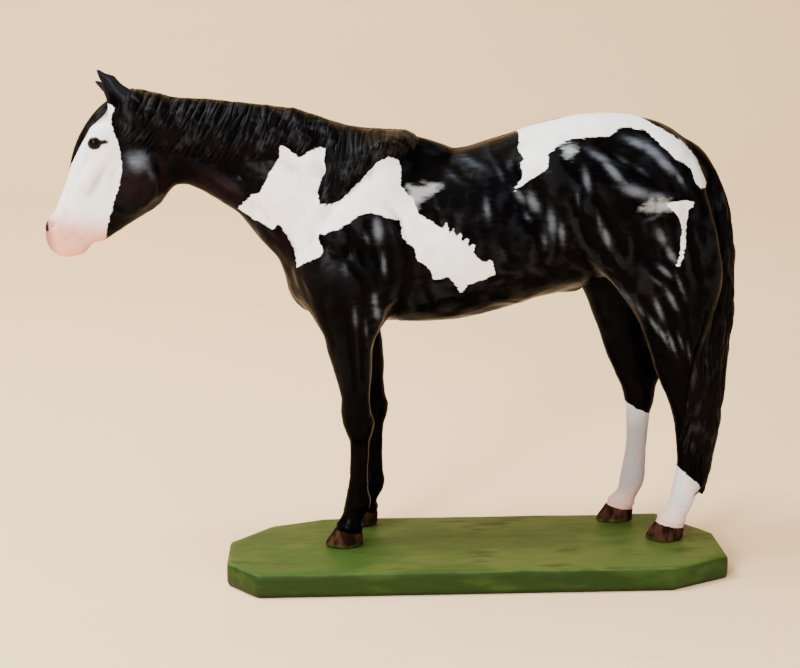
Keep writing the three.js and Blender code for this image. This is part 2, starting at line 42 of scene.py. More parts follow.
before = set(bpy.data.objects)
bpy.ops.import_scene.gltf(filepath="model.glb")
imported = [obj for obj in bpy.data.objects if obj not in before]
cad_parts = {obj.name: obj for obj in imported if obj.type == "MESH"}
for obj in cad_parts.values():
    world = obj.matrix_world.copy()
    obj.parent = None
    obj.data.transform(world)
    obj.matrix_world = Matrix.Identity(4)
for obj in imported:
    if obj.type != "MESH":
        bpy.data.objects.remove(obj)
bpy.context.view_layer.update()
BASE_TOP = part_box("base")[1].z
HORSE_LOW, HORSE_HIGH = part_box("horse")

# Places on the horse are in hundredths of its withers height: x back from the middle of the base,
# y across from the middle of the horse, z up from the top of the base. Its near side is -y.
NEAR = -1
FAR = 1

# The x of the toes of the near fore foot and the far hind foot, and how much further back the others are.
FORE_TOE = -37.6
HIND_TOE = 33.8
FAR_FORE_STEP = 4.2
NEAR_HIND_STEP = 10.2
# Half the distance between the middles of the fore hooves and of the hind hooves.
FORE_STANCE = 7.7
HIND_STANCE = 7.2

# Outlines of the white patches on the near side, as (x, z).
SHOULDER_PATCH = [
    (-58, 85.2), (-54.4, 88.8), (-52.4, 89.6), (-50.5, 93.5), (-49, 95.8), (-47.8, 97.7), (-47.5, 100.6),
    (-46.1, 100.3), (-44.2, 98.7), (-42.8, 98), (-40.4, 99.6), (-38, 100.2), (-36.3, 100), (-35.9, 98.7),
    (-36.6, 95), (-37.9, 92.7), (-38.8, 89.4), (-38.2, 87.2), (-35.3, 87.1), (-33, 88.3), (-30.6, 90.7),
    (-28.2, 93), (-26.3, 95.3), (-24.4, 97.6), (-22, 98.6), (-19.6, 97.5), (-18.9, 95.6), (-19, 91.5),
    (-17.8, 90.1), (-16, 88.3), (-15.1, 85.1), (-11.4, 83.1), (-9.2, 81.6), (-8.5, 83.1), (-7.7, 80.9),
    (-6.8, 82.2), (-6.3, 79.8), (-5.1, 81.2), (-4.9, 78.8), (-3.4, 80), (-3.3, 77.6), (-1.7, 78.8),
    (-2.3, 76.2), (0.1, 73.8), (1.6, 74.4), (2.7, 74.9), (2.5, 72.8), (3.2, 71), (0.8, 69.8), (-3, 68.5),
    (-4.8, 66.1), (-6.1, 68.2), (-8, 70.3), (-11.3, 69.3), (-12.3, 72.3), (-15.1, 74.4), (-16.1, 77.3),
    (-17.7, 78.7), (-18.7, 79.8), (-18.9, 81.9), (-19.3, 83.8), (-22.2, 84.2), (-26.4, 85.7),
    (-29.2, 84.8), (-31.1, 83.4), (-33.5, 81.9), (-35.9, 80.9), (-38.2, 80.2), (-39, 79.2), (-38.3, 77.9),
    (-37.3, 76.2), (-38.8, 74.7), (-41.6, 73.5), (-43.9, 71.7), (-44.1, 74.3), (-44.5, 76.2),
    (-45.7, 78.1), (-46.9, 80.5), (-48.3, 82), (-49.8, 80.4), (-51.7, 81.7), (-54.6, 83),
]
CROUP_PATCH = [
    (9.8, 102.3), (10.2, 105.4), (12.8, 107), (20.3, 108.6), (29.8, 110.2), (36.4, 109.2), (40.4, 106.2),
    (43.4, 104.4), (49.2, 101), (52.8, 97.2), (53.6, 93.9), (55.5, 90.7), (52.6, 90.4), (50.6, 92.8),
    (50.1, 95.4), (45.9, 97.7), (42.3, 101.3), (39.8, 103.8), (36, 104.7), (33, 104.3), (30.5, 102.6),
    (26.7, 102.7), (21.6, 102.3), (18, 101.1), (15.6, 99.2), (15, 96.1), (12.2, 94), (7.1, 90.2),
    (8.6, 92.2), (9.7, 94.4), (9.1, 96.3), (9.9, 97.9), (9.2, 99.6),
]
BUTTOCK_PATCH = [
    (43.2, 87.6), (45.8, 88), (48.6, 88), (51.1, 87.4), (49.4, 85.9), (48.9, 83.6), (48.7, 80.2),
    (48.5, 77), (48, 74), (47, 72), (46.6, 72.6), (47.3, 75), (47.6, 78.6), (47.5, 82), (46.6, 84.4),
    (44.8, 86.2),
]
# Thin, greyish wisps of white: behind the shoulder patch, before the one on the buttock and on the flank.
# The one before the buttock patch is partly painted highlight.
WISPS = [
    [
        (-17.5, 91.6), (-14.4, 91.4), (-11.6, 92), (-9.2, 91), (-11.2, 89.6), (-13.8, 88.2),
        (-15.6, 86.4), (-17.2, 88.4),
    ],
    [(36.8, 86.4), (39.4, 88.4), (43.6, 88.6), (45.6, 87.4), (45.0, 85.8), (41.2, 85.4)],
    [(18.6, 100.6), (20.8, 101.4), (22.4, 100.4), (21.2, 98.6), (19.2, 98.8)],
]
# The far side has one plain patch.
FAR_PATCH = [
    (-49, 80), (-47.5, 86), (-44, 88.5), (-43, 93), (-39.5, 96.5), (-36, 93.5), (-33.6, 96.2), (-30, 91),
    (-24, 93.2), (-20.5, 97), (-17.5, 93), (-16.6, 88), (-11, 86.4), (-7.6, 83.6), (-3.6, 84.6),
    (-1.2, 80), (3.4, 78.2), (1, 74.6), (-4.2, 74.8), (-8.4, 71.6), (-12, 74.2), (-16.8, 73.4),
    (-19.4, 77.6), (-26, 79.6), (-31, 77.2), (-34.6, 79.4), (-37.6, 74.2), (-41.8, 76.4), (-44.6, 75),
]
# Where the white of the face ends towards the cheek, as (x, z) from the poll down.
FACE_EDGE = [
    (-85.6, 113), (-86, 110.4), (-87.7, 106.8), (-85.6, 100.6), (-85, 96.1), (-85.9, 91.1), (-87.4, 87.2),
    (-90, 79.6), (-90.6, 72),
]
# Where the pink of the muzzle ends, from the nose back.
MUZZLE_EDGE = [(-110, 86.4), (-102.4, 84.8), (-98.3, 84.0), (-93.5, 82.6), (-89.3, 81.0), (-84, 79)]
# Lines of dark skin and their half widths: the nostril, and the eye's rim and corner.
DARK_SKIN = [
    ([(-104.9, 83.4), (-104.4, 81.8), (-104.0, 80.2)], 0.5),
    ([(-91.6, 101.2), (-91.1, 101.3)], 1.5),
    ([(-90.6, 101.4), (-88.4, 101.7)], 0.55),
]
EYE_X, EYE_Z = -91.3, 101.3

# The mane's locks, from the poll to the withers: where each starts on the crest, and the (x, z) of its tip.
MANE_GUIDES = [
    (-83, -86.2, 105), (-78, -83.6, 102.4), (-73, -80.4, 100), (-68, -76, 98.6), (-63, -70.8, 97.6),
    (-58, -65.4, 96.8), (-53, -59.8, 96.6), (-48.4, -54, 97), (-45.6, -49.8, 98.6), (-43.6, -47.3, 101.4),
    (-41.6, -45, 100.6), (-39.4, -42.4, 99.2), (-37.2, -39.6, 101), (-35.2, -36.6, 100.8),
    (-33.4, -36.6, 92), (-32.2, -37, 88), (-30.6, -35.6, 88), (-28.8, -33.8, 89.2), (-27, -31.6, 91.2),
    (-25, -28.8, 93.6), (-23, -26.4, 95.9), (-21, -24, 97.8), (-19, -21.6, 98.8), (-17, -19, 98.8),
    (-15, -16.4, 99.2),
]
# The forelock lies down the front of the face, as (x, z) on the middle of it.
FORELOCK_LINE = [
    (-82.5, 111.2), (-86, 110), (-89.6, 107.8), (-92.6, 104.4), (-95, 100.4), (-96.8, 96.4),
    (-98.4, 92.6),
]
# The tail's middle line, with its half depth and half breadth: (x, y, z, depth, breadth).
TAIL_LINE = [
    (48.6, 0, 99.6, 2.6, 2.2), (53.8, -0.5, 95.4, 3.3, 3.1), (58, -1.2, 86, 3.8, 3.6),
    (58.4, -2, 74, 5.3, 4.6), (58.2, -3, 62, 5.8, 5), (57.6, -4, 50, 5.6, 4.9), (57.4, -5, 38, 4.9, 4.5),
    (57.2, -5.8, 28, 4.2, 3.8), (57.4, -6.4, 19, 2.6, 2.6), (58, -6.6, 11.5, 0.7, 0.7),
]
# Locks of the tail that lie over the back of the near leg: the (x, z) of their roots and tips.
LEG_LOCKS = [
    ((56, 64), (50.8, 25.6)), ((56.6, 60), (52, 23.8)), ((57.4, 62), (53, 22.2)), ((57, 55), (54, 21.4)),
    ((58.2, 58), (54.8, 19)), ((57.6, 50), (55.6, 18.2)), ((58.6, 54), (56.4, 15.6)),
    ((58.2, 46), (57.2, 13.4)), ((59.2, 50), (57.8, 10.6)), ((59, 42), (58.2, 13)),
    ((55.6, 48), (51.6, 27)), ((56.4, 44), (53.2, 24.6)), ((57.4, 40), (54.6, 21)),
    ((58.8, 38), (58.6, 16.6)), ((60.2, 56), (59.4, 18.4)), ((60.6, 48), (59.2, 22)),
]
# Raised strokes with painted highlights brushed over them, as (x, z, direction in degrees, half length, half
# width, strength).
HIGHLIGHT_STROKES = [
    (-81, 97, 20, 2.6, 2.2, 0.8), (-78.3, 94.2, -60, 2, 0.8, 0.5), (-77.2, 87.6, 40, 2, 0.5, 0.5),
    (-73.6, 103, 10, 3, 0.8, 0.3), (-66.4, 104.2, 55, 2.6, 0.6, 0.4), (-24.6, 81.6, -84, 2.6, 1, 0.9),
    (-27.2, 79.4, -70, 1.6, 0.6, 0.5), (-32.4, 72.1, -74, 1.9, 0.8, 0.5),
    (-23.2, 73.4, -84, 2.4, 0.6, 0.7), (-25.3, 64.6, -84, 1.5, 0.7, 0.7),
    (-24.8, 61.2, -76, 1.7, 0.8, 0.8), (-30.1, 60.4, -86, 2.6, 0.5, 0.6), (-27.4, 57, -86, 2.4, 0.4, 0.5),
    (-2, 96.6, -24, 3.6, 1, 0.5), (1.1, 86.7, -82, 2.4, 0.8, 0.7), (4.5, 94.4, -66, 1.8, 0.7, 0.5),
    (-6.4, 93.4, -34, 2, 0.7, 0.4), (8.8, 89.4, -50, 2, 0.9, 0.8), (12, 88, -62, 2.6, 1.1, 0.9),
    (10.6, 84.6, -60, 1.6, 0.7, 0.6), (16.4, 83, -82, 3, 1, 0.9), (18.8, 80.4, -80, 2.6, 0.8, 0.8),
    (14.7, 79, -80, 1.8, 0.8, 0.6), (5, 75.6, -70, 1.8, 0.8, 0.4), (24.2, 93.4, -78, 2.8, 0.8, 0.9),
    (22.2, 89.4, -82, 2.2, 0.5, 0.6), (27.4, 98.6, -28, 3.2, 0.9, 0.8), (30.4, 95.4, -48, 3.4, 0.9, 1),
    (33.4, 92.6, -40, 2.4, 0.6, 0.7), (37.2, 101.2, -22, 2.6, 0.9, 0.9), (40.6, 99.4, -38, 3.2, 1.1, 1),
    (43.4, 96.6, -44, 3.2, 1, 1), (46.9, 93.2, -56, 2.2, 0.7, 0.8), (36, 90.6, -20, 3.6, 1.2, 1),
    (40.8, 89.4, -8, 2.8, 0.9, 0.9), (33, 97.8, -30, 2, 0.6, 0.5), (37.6, 95.2, -40, 2.2, 0.6, 0.5),
    (27.6, 83, -76, 3, 0.5, 0.6), (29.4, 79.6, -70, 2.4, 0.7, 0.9), (40.6, 84.4, 20, 2.4, 0.5, 0.6),
    (42.6, 79.6, -62, 2.2, 0.9, 0.8), (45.4, 74.9, -56, 2.2, 0.7, 0.9), (43.9, 71.2, -40, 2, 0.6, 0.9),
    (41.6, 69, -36, 2, 0.5, 0.6), (47.9, 67.6, -66, 3, 0.5, 0.7), (46, 64.1, -60, 3, 0.6, 0.8),
    (43, 61.6, -66, 2.8, 0.6, 0.8), (38.7, 61.3, -58, 2.4, 0.6, 0.6), (35.6, 64.4, -50, 2.8, 0.5, 0.6),
    (42.5, 57.2, -58, 2.6, 0.5, 0.8), (44.6, 54.8, -60, 2.8, 0.5, 0.9), (46.8, 53, -66, 2.8, 0.5, 0.9),
    (49, 53.4, -70, 2.4, 0.4, 0.7), (51.4, 50.6, -76, 2.4, 0.4, 0.6),
]
# The muscles' run at some places of the side view: (x, z, direction in degrees).
GRAIN = [
    (-78, 96, -70), (-68, 96, -24), (-58, 90, -34), (-48, 82, -52), (-45, 68, -75), (-38, 88, -42),
    (-28, 92, -66), (-24, 80, -84), (-33, 76, -60), (-30, 62, -88), (-30, 40, -88), (-10, 92, -20),
    (-8, 80, -84), (4, 84, -80), (2, 68, 8), (12, 90, -70), (18, 80, -104), (18, 68, -32), (22, 98, -16),
    (32, 100, -24), (44, 98, -50), (32, 88, -60), (42, 84, -84), (34, 74, -76), (44, 70, -96),
    (40, 58, -62), (46, 48, -66), (46, 26, -90),
]


# The mane's layers: share of a lock's full length, lift off the neck, and share of the number of locks.
MANE_LAYERS = [(1.08, 0.2, 1.0), (0.96, 0.35, 0.9), (0.7, 0.5, 0.6)]
# Where along the crest the strands start to turn light, and where all of them are.
GOLD_START, GOLD_FULL = -27, -20
FORELOCK_LOCKS = 13
# Points along a lock of the mane or forelock, of the tail, and of the tail over the leg.
LOCK_POINTS, TAIL_POINTS, LEG_POINTS = 18, 70, 26
# Steps that the tail's middle line is worked out in.
TAIL_STEPS = 90
# Corners of a lock's section.
SECTION_CORNERS = 12
# A guess further out than this on the near side is dropped straight onto the body.
NEAR_GUESS = -5

# Places lower than this stand on the base and aren't carved.
GROUND = 0.25
# A distance well outside a painted place.
OUTSIDE = -50.0
MODELLING_STROKES = 800
# Levels of reflection. The pale floor would turn the black grey with a glossier varnish.
COAT_REFLECTION = 0.018
HAIR_REFLECTION = 0.035
EYE_REFLECTION = 0.07
BASE_REFLECTION = 0.15
PAPER_REFLECTION = 0.1

# The floor and the wall behind it, in metres.
FLOOR_SIZE, WALL_Y, WALL_HEIGHT = 16, 1.7, 3
# The camera's place around the statue, in degrees and metres, and its lens in millimetres.
CAMERA_TURN, CAMERA_RISE, CAMERA_DISTANCE, CAMERA_LENS = -2.8, 13.2, 0.668, 69.9


def smoothstep(low, high, x):
    """0 below low, 1 above high and soft in between."""
    t = np.clip((x - low) / (high - low), 0, 1)
    return t * t * (3 - 2 * t)


def fore_shift(z, step):
    """How far back a foreleg is at a height when its foot is a step back."""
    return step * (1 - smoothstep(40, 68, z))


def hind_shift(z, step):
    """How far back a hind leg is at a height when its foot is a step back."""
    return step * (0.88 * (1 - smoothstep(60, 88, z)) + 0.12 * (1 - smoothstep(20, 36, z)))


def measure(name, description, metres, **limits):
    return FloatProperty(name=name, description=description, default=metres, unit="LENGTH", **limits)


def power(name, description, watts):
    return FloatProperty(name=name, description=description, default=watts, unit="POWER")


def colour(name, description, r, g, b):
    return FloatVectorProperty(
        name=name, description=description, subtype="COLOR", size=3, min=0, max=1, default=(r, g, b),
    )


class STATUE_PG_sizes(bpy.types.PropertyGroup):
    withers: measure("Withers height", "Height of the horse at its withers, above the base", 0.172, min=0.05)
    middle: measure(
        "Horse's middle line", "How far the horse stands towards the far edge of the base",
        (HORSE_LOW.y + HORSE_HIGH.y) / 2,
    )
    carving: measure("Carving fineness", "Size of the smallest carved detail", 0.0008, min=0.0004, max=0.004)
    base_fineness: measure("Base fineness", "Size of the smallest dent in the base", 0.0011, min=0.0004)
    eye_radius: measure("Eye radius", "Radius of the eyeball", 0.0029)
    body_triangles: IntProperty(
        name="Body triangles", description="Triangles kept on the body once it is carved", default=190000,
    )
    mane_locks: IntProperty(name="Mane locks", description="Carved locks in the mane", default=92, min=10)
    tail_locks: IntProperty(name="Tail locks", description="Carved locks in the tail", default=64, min=10)


class STATUE_PG_paints(bpy.types.PropertyGroup):
    black: colour("Black coat", "Main black of the coat", 0.0009, 0.0008, 0.0009)
    brown: colour("Brown tint", "Warm tint in the black of the neck, mane and tail", 0.0085, 0.0036, 0.0044)
    # Painted highlights: this cool grey goes on the raised forms, round the highlight strokes and along
    # strands of the hair.
    blue: colour("Blue sheen", "Cool grey brushed over the raised forms", 0.02, 0.023, 0.03)
    # Painted highlights: this pale grey fills the highlight strokes on the head, shoulder, barrel, hip and
    # legs.
    painted_highlight: colour("Pale sheen", "Blue grey brushed on the hip, shoulder and cheek", 0.10, 0.113, 0.138)
    white: colour("White coat", "White of the face, patches and socks", 0.875, 0.88, 0.885)
    # Painted shade: this greyer white goes in the white coat's grooves and soft clouds, down the socks and
    # more on the far hind sock.
    shade: colour("White in the grooves", "Greyer white where the paint is thin", 0.50, 0.47, 0.48)
    pink: colour("Muzzle pink", "Skin of the muzzle", 0.78, 0.40, 0.32)
    # Partly painted highlight: this grey also paints the faded grey before the buttock patch.
    thin: colour("Thin white", "Greyish wisps of white over the black", 0.50, 0.54, 0.56)
    mauve: colour("Nostril mauve", "Darker skin around the nostrils", 0.22, 0.10, 0.10)
    skin: colour("Dark skin", "Skin of the nostrils and the eyes' rims", 0.012, 0.005, 0.005)
    eye: colour("Eye", "Main dark of the eyes", 0.0015, 0.001, 0.001)
    iris: colour("Eye brown", "Brown flecks in the eyes", 0.004, 0.002, 0.002)
    hoof: colour("Hoof brown", "Horn of the hooves", 0.045, 0.018, 0.010)
    gold: colour("Light strands", "Sunburnt strands in the mane", 0.015, 0.0095, 0.005)
    grass: colour("Base green", "Main green of the base", 0.0275, 0.062, 0.0078)
    olive: colour("Base olive", "Yellower brush strokes on the base", 0.0585, 0.090, 0.0158)
    # Painted shade: this dark green covers the base's sides; on the top it gives darker brush strokes.
    dark_green_and_side_shade: colour("Base dark green", "Darker paint on the base's sides", 0.0108, 0.0275, 0.0028)


class STATUE_PG_stage(bpy.types.PropertyGroup):
    floor: colour("Floor", "Colour of the floor and the backdrop", 0.96, 0.70, 0.40)
    ambient: FloatProperty(name="Room light", description="Strength of the room's own light", default=0.25)
    top_power: power("Overhead light", "Power of the light above", 14)
    key_power: power("Main light", "Power of the light at the front left", 18)
    fill_power: power("Fill light", "Power of the light at the right", 3)
    back_power: power("Backdrop light", "Power of the light on the backdrop", 24)
    sky_strength: FloatProperty(
        name="Even light", description="Strength of the broad, soft light from above", default=2.0,
    )


def settings():
    scene = bpy.context.scene
    return scene.statue_sizes, scene.statue_paints, scene.statue_stage


def scale():
    return settings()[0].withers / 100


def spot(x, y, z):
    """A place on the horse, in metres."""
    unit = scale()
    return Vector((x * unit, settings()[0].middle + y * unit, BASE_TOP + z * unit))


# Shader expressions


def wire_operator(operation, turned=False):
    """An operator on a wire and a number or wire, with the two turned round for its reflected form."""

    def combine(self, other):
        values = (other, self) if turned else (self, other)
        return self.paint.math(operation, *values)

    return combine


class Wire:
    """A number on its way through a material. Sums and products of wires add Math nodes."""

    def __init__(self, paint, socket):
        self.paint = paint
        self.socket = socket

    __add__ = __radd__ = wire_operator("ADD")
    __mul__ = __rmul__ = wire_operator("MULTIPLY")
    __sub__ = wire_operator("SUBTRACT")
    __rsub__ = wire_operator("SUBTRACT", turned=True)


class Paint:
    """A material under construction."""

    def __init__(self, name):
        self.material = bpy.data.materials.new(name)
        self.material.use_nodes = True
        self.tree = self.material.node_tree
        self.shader = next(n for n in self.tree.nodes if n.type == "BSDF_PRINCIPLED")

    def node(self, kind, modes=None, **values):
        """Adds a node, sets its modes and then links or sets its sockets, named or numbered as in_0."""
        node = self.tree.nodes.new(kind)
        for key, value in (modes or {}).items():
            setattr(node, key, value)
        for key, value in values.items():
            socket = int(key[3:]) if key.startswith("in_") else key.replace("_", " ")
            self.feed(node.inputs[socket], value)
        return node

    def feed(self, socket, value):
        """Links a socket to a wire or another socket, or sets it to a value."""
        if isinstance(value, Wire):
            value = value.socket
        if isinstance(value, bpy.types.NodeSocket):
            self.tree.links.new(value, socket)
        else:
            socket.default_value = value

    def math(self, operation, *values):
        inputs = {f"in_{i}": v for i, v in enumerate(values)}
        return Wire(self, self.node("ShaderNodeMath", {"operation": operation}, **inputs).outputs[0])

    def attribute(self, name):
        return Wire(self, self.node("ShaderNodeAttribute", {"attribute_name": name}).outputs["Fac"])

    def place(self, stretch=(1, 1, 1), turn=(0, 0, 0)):
        """Object coordinates, in metres, stretched and turned for a pattern."""
        mapping = self.node("ShaderNodeMapping", Vector=self.coordinates(), Rotation=turn, Scale=stretch)
        return mapping.outputs["Vector"]

    def coordinates(self):
        return self.node("ShaderNodeTexCoord").outputs["Object"]

    def axes(self):
        """The three Object coordinates, in metres, as wires."""
        return [Wire(self, o) for o in self.node("ShaderNodeSeparateXYZ", Vector=self.coordinates()).outputs]

    def noise(self, size, where=None, detail=3.0):
        """Cloudy variation from 0 to 1, with clouds of about the given size in metres."""
        where = where or self.place()
        node = self.node("ShaderNodeTexNoise", Vector=where, Scale=1 / size, Detail=detail, Roughness=0.55)
        return Wire(self, node.outputs["Fac"])

    def between(self, value, low, high):
        """0 below low, 1 above high and soft in between."""
        modes = {"interpolation_type": "SMOOTHSTEP"}
        node = self.node("ShaderNodeMapRange", modes, Value=value, From_Min=low, From_Max=high)
        return Wire(self, node.outputs["Result"])

    def mix(self, share, first, second):
        """Blends two colours."""
        node = self.node("ShaderNodeMix", {"data_type": "RGBA"}, in_0=share)
        for socket, shade in ((node.inputs[6], first), (node.inputs[7], second)):
            self.feed(socket, (*shade, 1) if not isinstance(shade, bpy.types.NodeSocket) else shade)
        return node.outputs[2]

    def bump(self, height, depth, distance):
        node = self.node("ShaderNodeBump", Strength=depth, Distance=distance, Height=height)
        self.feed(self.shader.inputs["Normal"], node.outputs["Normal"])

    def finish(self, tint, roughness, reflection):
        """Sets the shader's own sockets and gives back the material."""
        self.feed(self.shader.inputs["Base Color"], tint)
        self.feed(self.shader.inputs["Roughness"], roughness)
        self.feed(self.shader.inputs["Specular IOR Level"], reflection)
        return self.material


def darker(shade, share):
    return tuple(share * c for c in shade)


# Mesh helpers


def deselect():
    for o in bpy.context.selected_objects:
        o.select_set(False)


def activate(piece):
    deselect()
    piece.select_set(True)
    bpy.context.view_layer.objects.active = piece


def apply_modifier(piece, kind, **values):
    activate(piece)
    modifier = piece.modifiers.new(kind.title(), kind)
    for key, value in values.items():
        setattr(modifier, key, value)
    bpy.ops.object.modifier_apply(modifier=modifier.name)


def edit_all(piece, step, **values):
    """Runs a step of edit mode on the whole of a piece."""
    activate(piece)
    bpy.ops.object.mode_set(mode="EDIT")
    bpy.ops.mesh.select_all(action="SELECT")
    step(**values)
    bpy.ops.object.mode_set(mode="OBJECT")


def copy_of(node, name):
    """A merged copy of a CAD solid, ready to be carved."""
    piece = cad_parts[node].copy()
    piece.data = piece.data.copy()
    piece.name = name
    piece.parent = None
    for key in list(piece.keys()):
        del piece[key]
    piece.data.materials.clear()
    bpy.context.scene.collection.objects.link(piece)
    edit_all(piece, bpy.ops.mesh.remove_doubles, threshold=0.00002)
    return piece


def finish_piece(piece, material, slot, *nodes):
    """Paints a piece, parents it to the root's empty and hides the CAD solids that it replaces. The slot is
    not used.
    """
    piece.data.materials.clear()
    piece.data.materials.append(material)
    piece.data.name = piece.name
    activate(piece)
    bpy.ops.object.shade_smooth()
    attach(piece, "root")
    if nodes:
        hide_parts(*nodes)


class Clay:
    """A fine mesh as arrays, in hundredths of the withers height, that carving strokes push about."""

    def __init__(self, piece):
        self.mesh = mesh = piece.data
        count = len(mesh.vertices)
        co = np.empty(count * 3)
        mesh.vertices.foreach_get("co", co)
        self.origin = np.array([0, settings()[0].middle, BASE_TOP])
        self.co = (co.reshape(-1, 3) - self.origin) / scale()
        self.ground = self.co[:, 2] < GROUND
        edges = np.empty(len(mesh.edges) * 2, np.int64)
        mesh.edges.foreach_get("vertices", edges)
        self.edges = edges.reshape(-1, 2)
        self.degree = np.bincount(edges, minlength=count)[:, None]
        self.find_normals()

    def write(self):
        self.mesh.vertices.foreach_set("co", (self.co * scale() + self.origin).ravel())
        self.mesh.update()

    def find_normals(self):
        self.write()
        normals = np.empty(len(self.co) * 3, np.float32)
        self.mesh.vertex_normals.foreach_get("vector", normals)
        self.normals = normals.reshape(-1, 3).astype(float)

    def spread(self, values):
        """The mean of each point's neighbours."""
        a, b = self.edges[:, 0], self.edges[:, 1]
        size = len(values)
        sums = [np.bincount(a, column[b], size) + np.bincount(b, column[a], size) for column in values.T]
        return np.stack(sums, 1) / self.degree

    def relax(self, rounds, keep_volume=True, where=1):
        """Smooths the surface, without thinning it if the volume is kept."""
        share = np.reshape(where, (-1, 1))
        for _ in range(rounds):
            for factor in (0.5, -0.52) if keep_volume else (0.5,):
                step = factor * (self.spread(self.co) - self.co) * share
                step[self.ground, 2] = 0
                self.co += step
        self.find_normals()

    def push(self, amount):
        step = self.normals * amount[:, None]
        step[self.ground] = 0
        self.co += step

    def line_distance(self, path, plane=True):
        """Distance from every point to a line, how far along the line that is, and which side it is on."""
        axes = [0, 2] if plane else [0, 1, 2]
        points = self.co[:, axes]
        path = np.array(path, float)
        best = np.full(len(points), 1e9)
        side = np.zeros(len(points))
        share = np.zeros(len(points))
        for i in range(len(path) - 1):
            run = path[i + 1] - path[i]
            offset = points - path[i]
            t = np.clip(offset @ run / (run @ run), 0, 1)
            away = offset - t[:, None] * run
            d = np.sqrt((away**2).sum(1))
            near = d < best
            best = np.where(near, d, best)
            share = np.where(near, (i + t) / (len(path) - 1), share)
            if plane:
                side = np.where(near, np.sign(run[0] * offset[:, 1] - run[1] * offset[:, 0]), side)
        return best, share, side

    def facing(self, side):
        """How squarely each point faces out to one side."""
        return smoothstep(0.1, 0.45, self.normals[:, 1] * side)


def curve_through(points, count):
    """Evenly numbered points on a smooth line through the given ones."""
    points = np.array(points, float)
    ends = np.vstack([2 * points[0] - points[1], points, 2 * points[-1] - points[-2]])
    result = []
    for s in np.linspace(0, len(points) - 1, count):
        i = min(int(s), len(points) - 2)
        t = s - i
        a, b, c, d = ends[i : i + 4]
        bend = (2 * a - 5 * b + 4 * c - d) * t**2 + (3 * b - a - 3 * c + d) * t**3
        result.append(0.5 * (2 * b + (c - a) * t + bend))
    return np.array(result)


def inside_distance(points, outline):
    """Distance to an outline in the side view, positive inside it."""
    outline = np.array(outline, float)
    best = np.full(len(points), 1e9)
    inside = np.zeros(len(points), bool)
    for a, b in zip(outline, np.roll(outline, -1, 0)):
        run = b - a
        offset = points - a
        t = np.clip(offset @ run / (run @ run), 0, 1)
        best = np.minimum(best, ((offset - t[:, None] * run) ** 2).sum(1))
        crosses = (a[1] > points[:, 1]) != (b[1] > points[:, 1])
        reach = a[0] + (points[:, 1] - a[1]) * run[0] / (run[1] if run[1] else 1e-9)
        inside ^= crosses & (points[:, 0] < reach)
    return np.sqrt(best) * np.where(inside, 1, -1)


def tool_path(clay, path, taper):
    """Distance from a smooth path, the side of it, and how much of the stroke is left at each point."""
    d, share, hand = clay.line_distance(curve_through(path, 6 * len(path)))
    return d, hand, np.sin(np.pi * np.clip(share, 0, 1)) ** taper if taper else 1


def groove(clay, side, path, depth, width, taper=0.6):
    """Draws a tool along a path in the side view, to cut a groove or, with a negative depth, lay a ridge."""
    d, _, fade = tool_path(clay, path, taper)
    profile = np.exp(-((d / width) ** 2)) * fade * (clay.co[:, 1] * side > 0)
    clay.push(-depth * profile * clay.facing(side))


def fold(clay, side, path, height, width):
    """Raises the left of a path and sinks its right, as where one muscle passes over the next."""
    d, hand, fade = tool_path(clay, path, 0.7)
    s = d / width * hand
    profile = s * np.exp(0.5 - s * s) * 1.4 * fade * (clay.co[:, 1] * side > 0)
    clay.push(height * profile * clay.facing(side))


def lump(clay, x, y, z, height, width):
    """Adds a lump of clay, or with a negative height presses a hollow."""
    away = clay.co - (x, y, z)
    clay.push(height * np.exp(-(away**2).sum(1) / width**2))


def ring(clay, side, x, z, radius, height, width, squash=1.0, lean=0.0):
    """Lays a ring, such as an eyelid, in the side view."""
    dx, dz = clay.co[:, 0] - x, clay.co[:, 2] - z
    c, s = math.cos(lean), math.sin(lean)
    d = np.sqrt((dx * c + dz * s) ** 2 + ((dz * c - dx * s) / squash) ** 2) - radius
    clay.push(height * np.exp(-((d / width) ** 2)) * (clay.co[:, 1] * side > 0) * clay.facing(side))


def grain_at(x, z):
    """The muscles' direction at a place in the side view."""
    spots = np.array(GRAIN, float)
    weight = 1 / ((spots[:, 0] - x) ** 2 + (spots[:, 1] - z) ** 2 + 1) ** 2
    angles = np.radians(spots[:, 2]) * 2
    return 0.5 * math.atan2((np.sin(angles) * weight).sum(), (np.cos(angles) * weight).sum())


def modelling_strokes(clay, count, seed):
    """Short strokes of the modelling tool along the muscles, all over the body and neck."""
    rng = np.random.default_rng(seed)
    facing = np.abs(clay.normals[:, 1]) > 0.35
    body = np.flatnonzero((clay.co[:, 0] > -74) & (clay.co[:, 2] > 16) & facing)
    amount = np.zeros(len(clay.co))
    for i in rng.choice(body, count):
        x, _, z = clay.co[i]
        side = np.sign(clay.normals[i, 1])
        legs = z < 58
        angle = grain_at(x, z) + rng.normal(0, 0.2)
        along = np.array([math.cos(angle), math.sin(angle)])
        length = rng.uniform(1.6, 3.6)
        width = rng.uniform(0.35, 0.6) if legs else rng.uniform(0.5, 1.1)
        height = rng.choice([-1, 1], p=[0.45, 0.55]) * rng.uniform(0.06, 0.24) * (0.7 if legs else 1)
        near = np.flatnonzero(
            (np.abs(clay.co[:, 0] - x) < 8) & (np.abs(clay.co[:, 2] - z) < 8) & (clay.co[:, 1] * side > 0)
            & (np.abs(clay.co[:, 1] - clay.co[i, 1]) < 6)
        )
        offset = clay.co[near][:, [0, 2]] - (x, z)
        u = offset @ along
        v = offset @ np.array([-along[1], along[0]]) + 0.05 * rng.normal() * u**2 / length
        out = smoothstep(0.05, 0.4, clay.normals[near, 1] * side)
        amount[near] += height * np.exp(-((u / length) ** 2) - (v / width) ** 2) * out
    clay.push(amount)


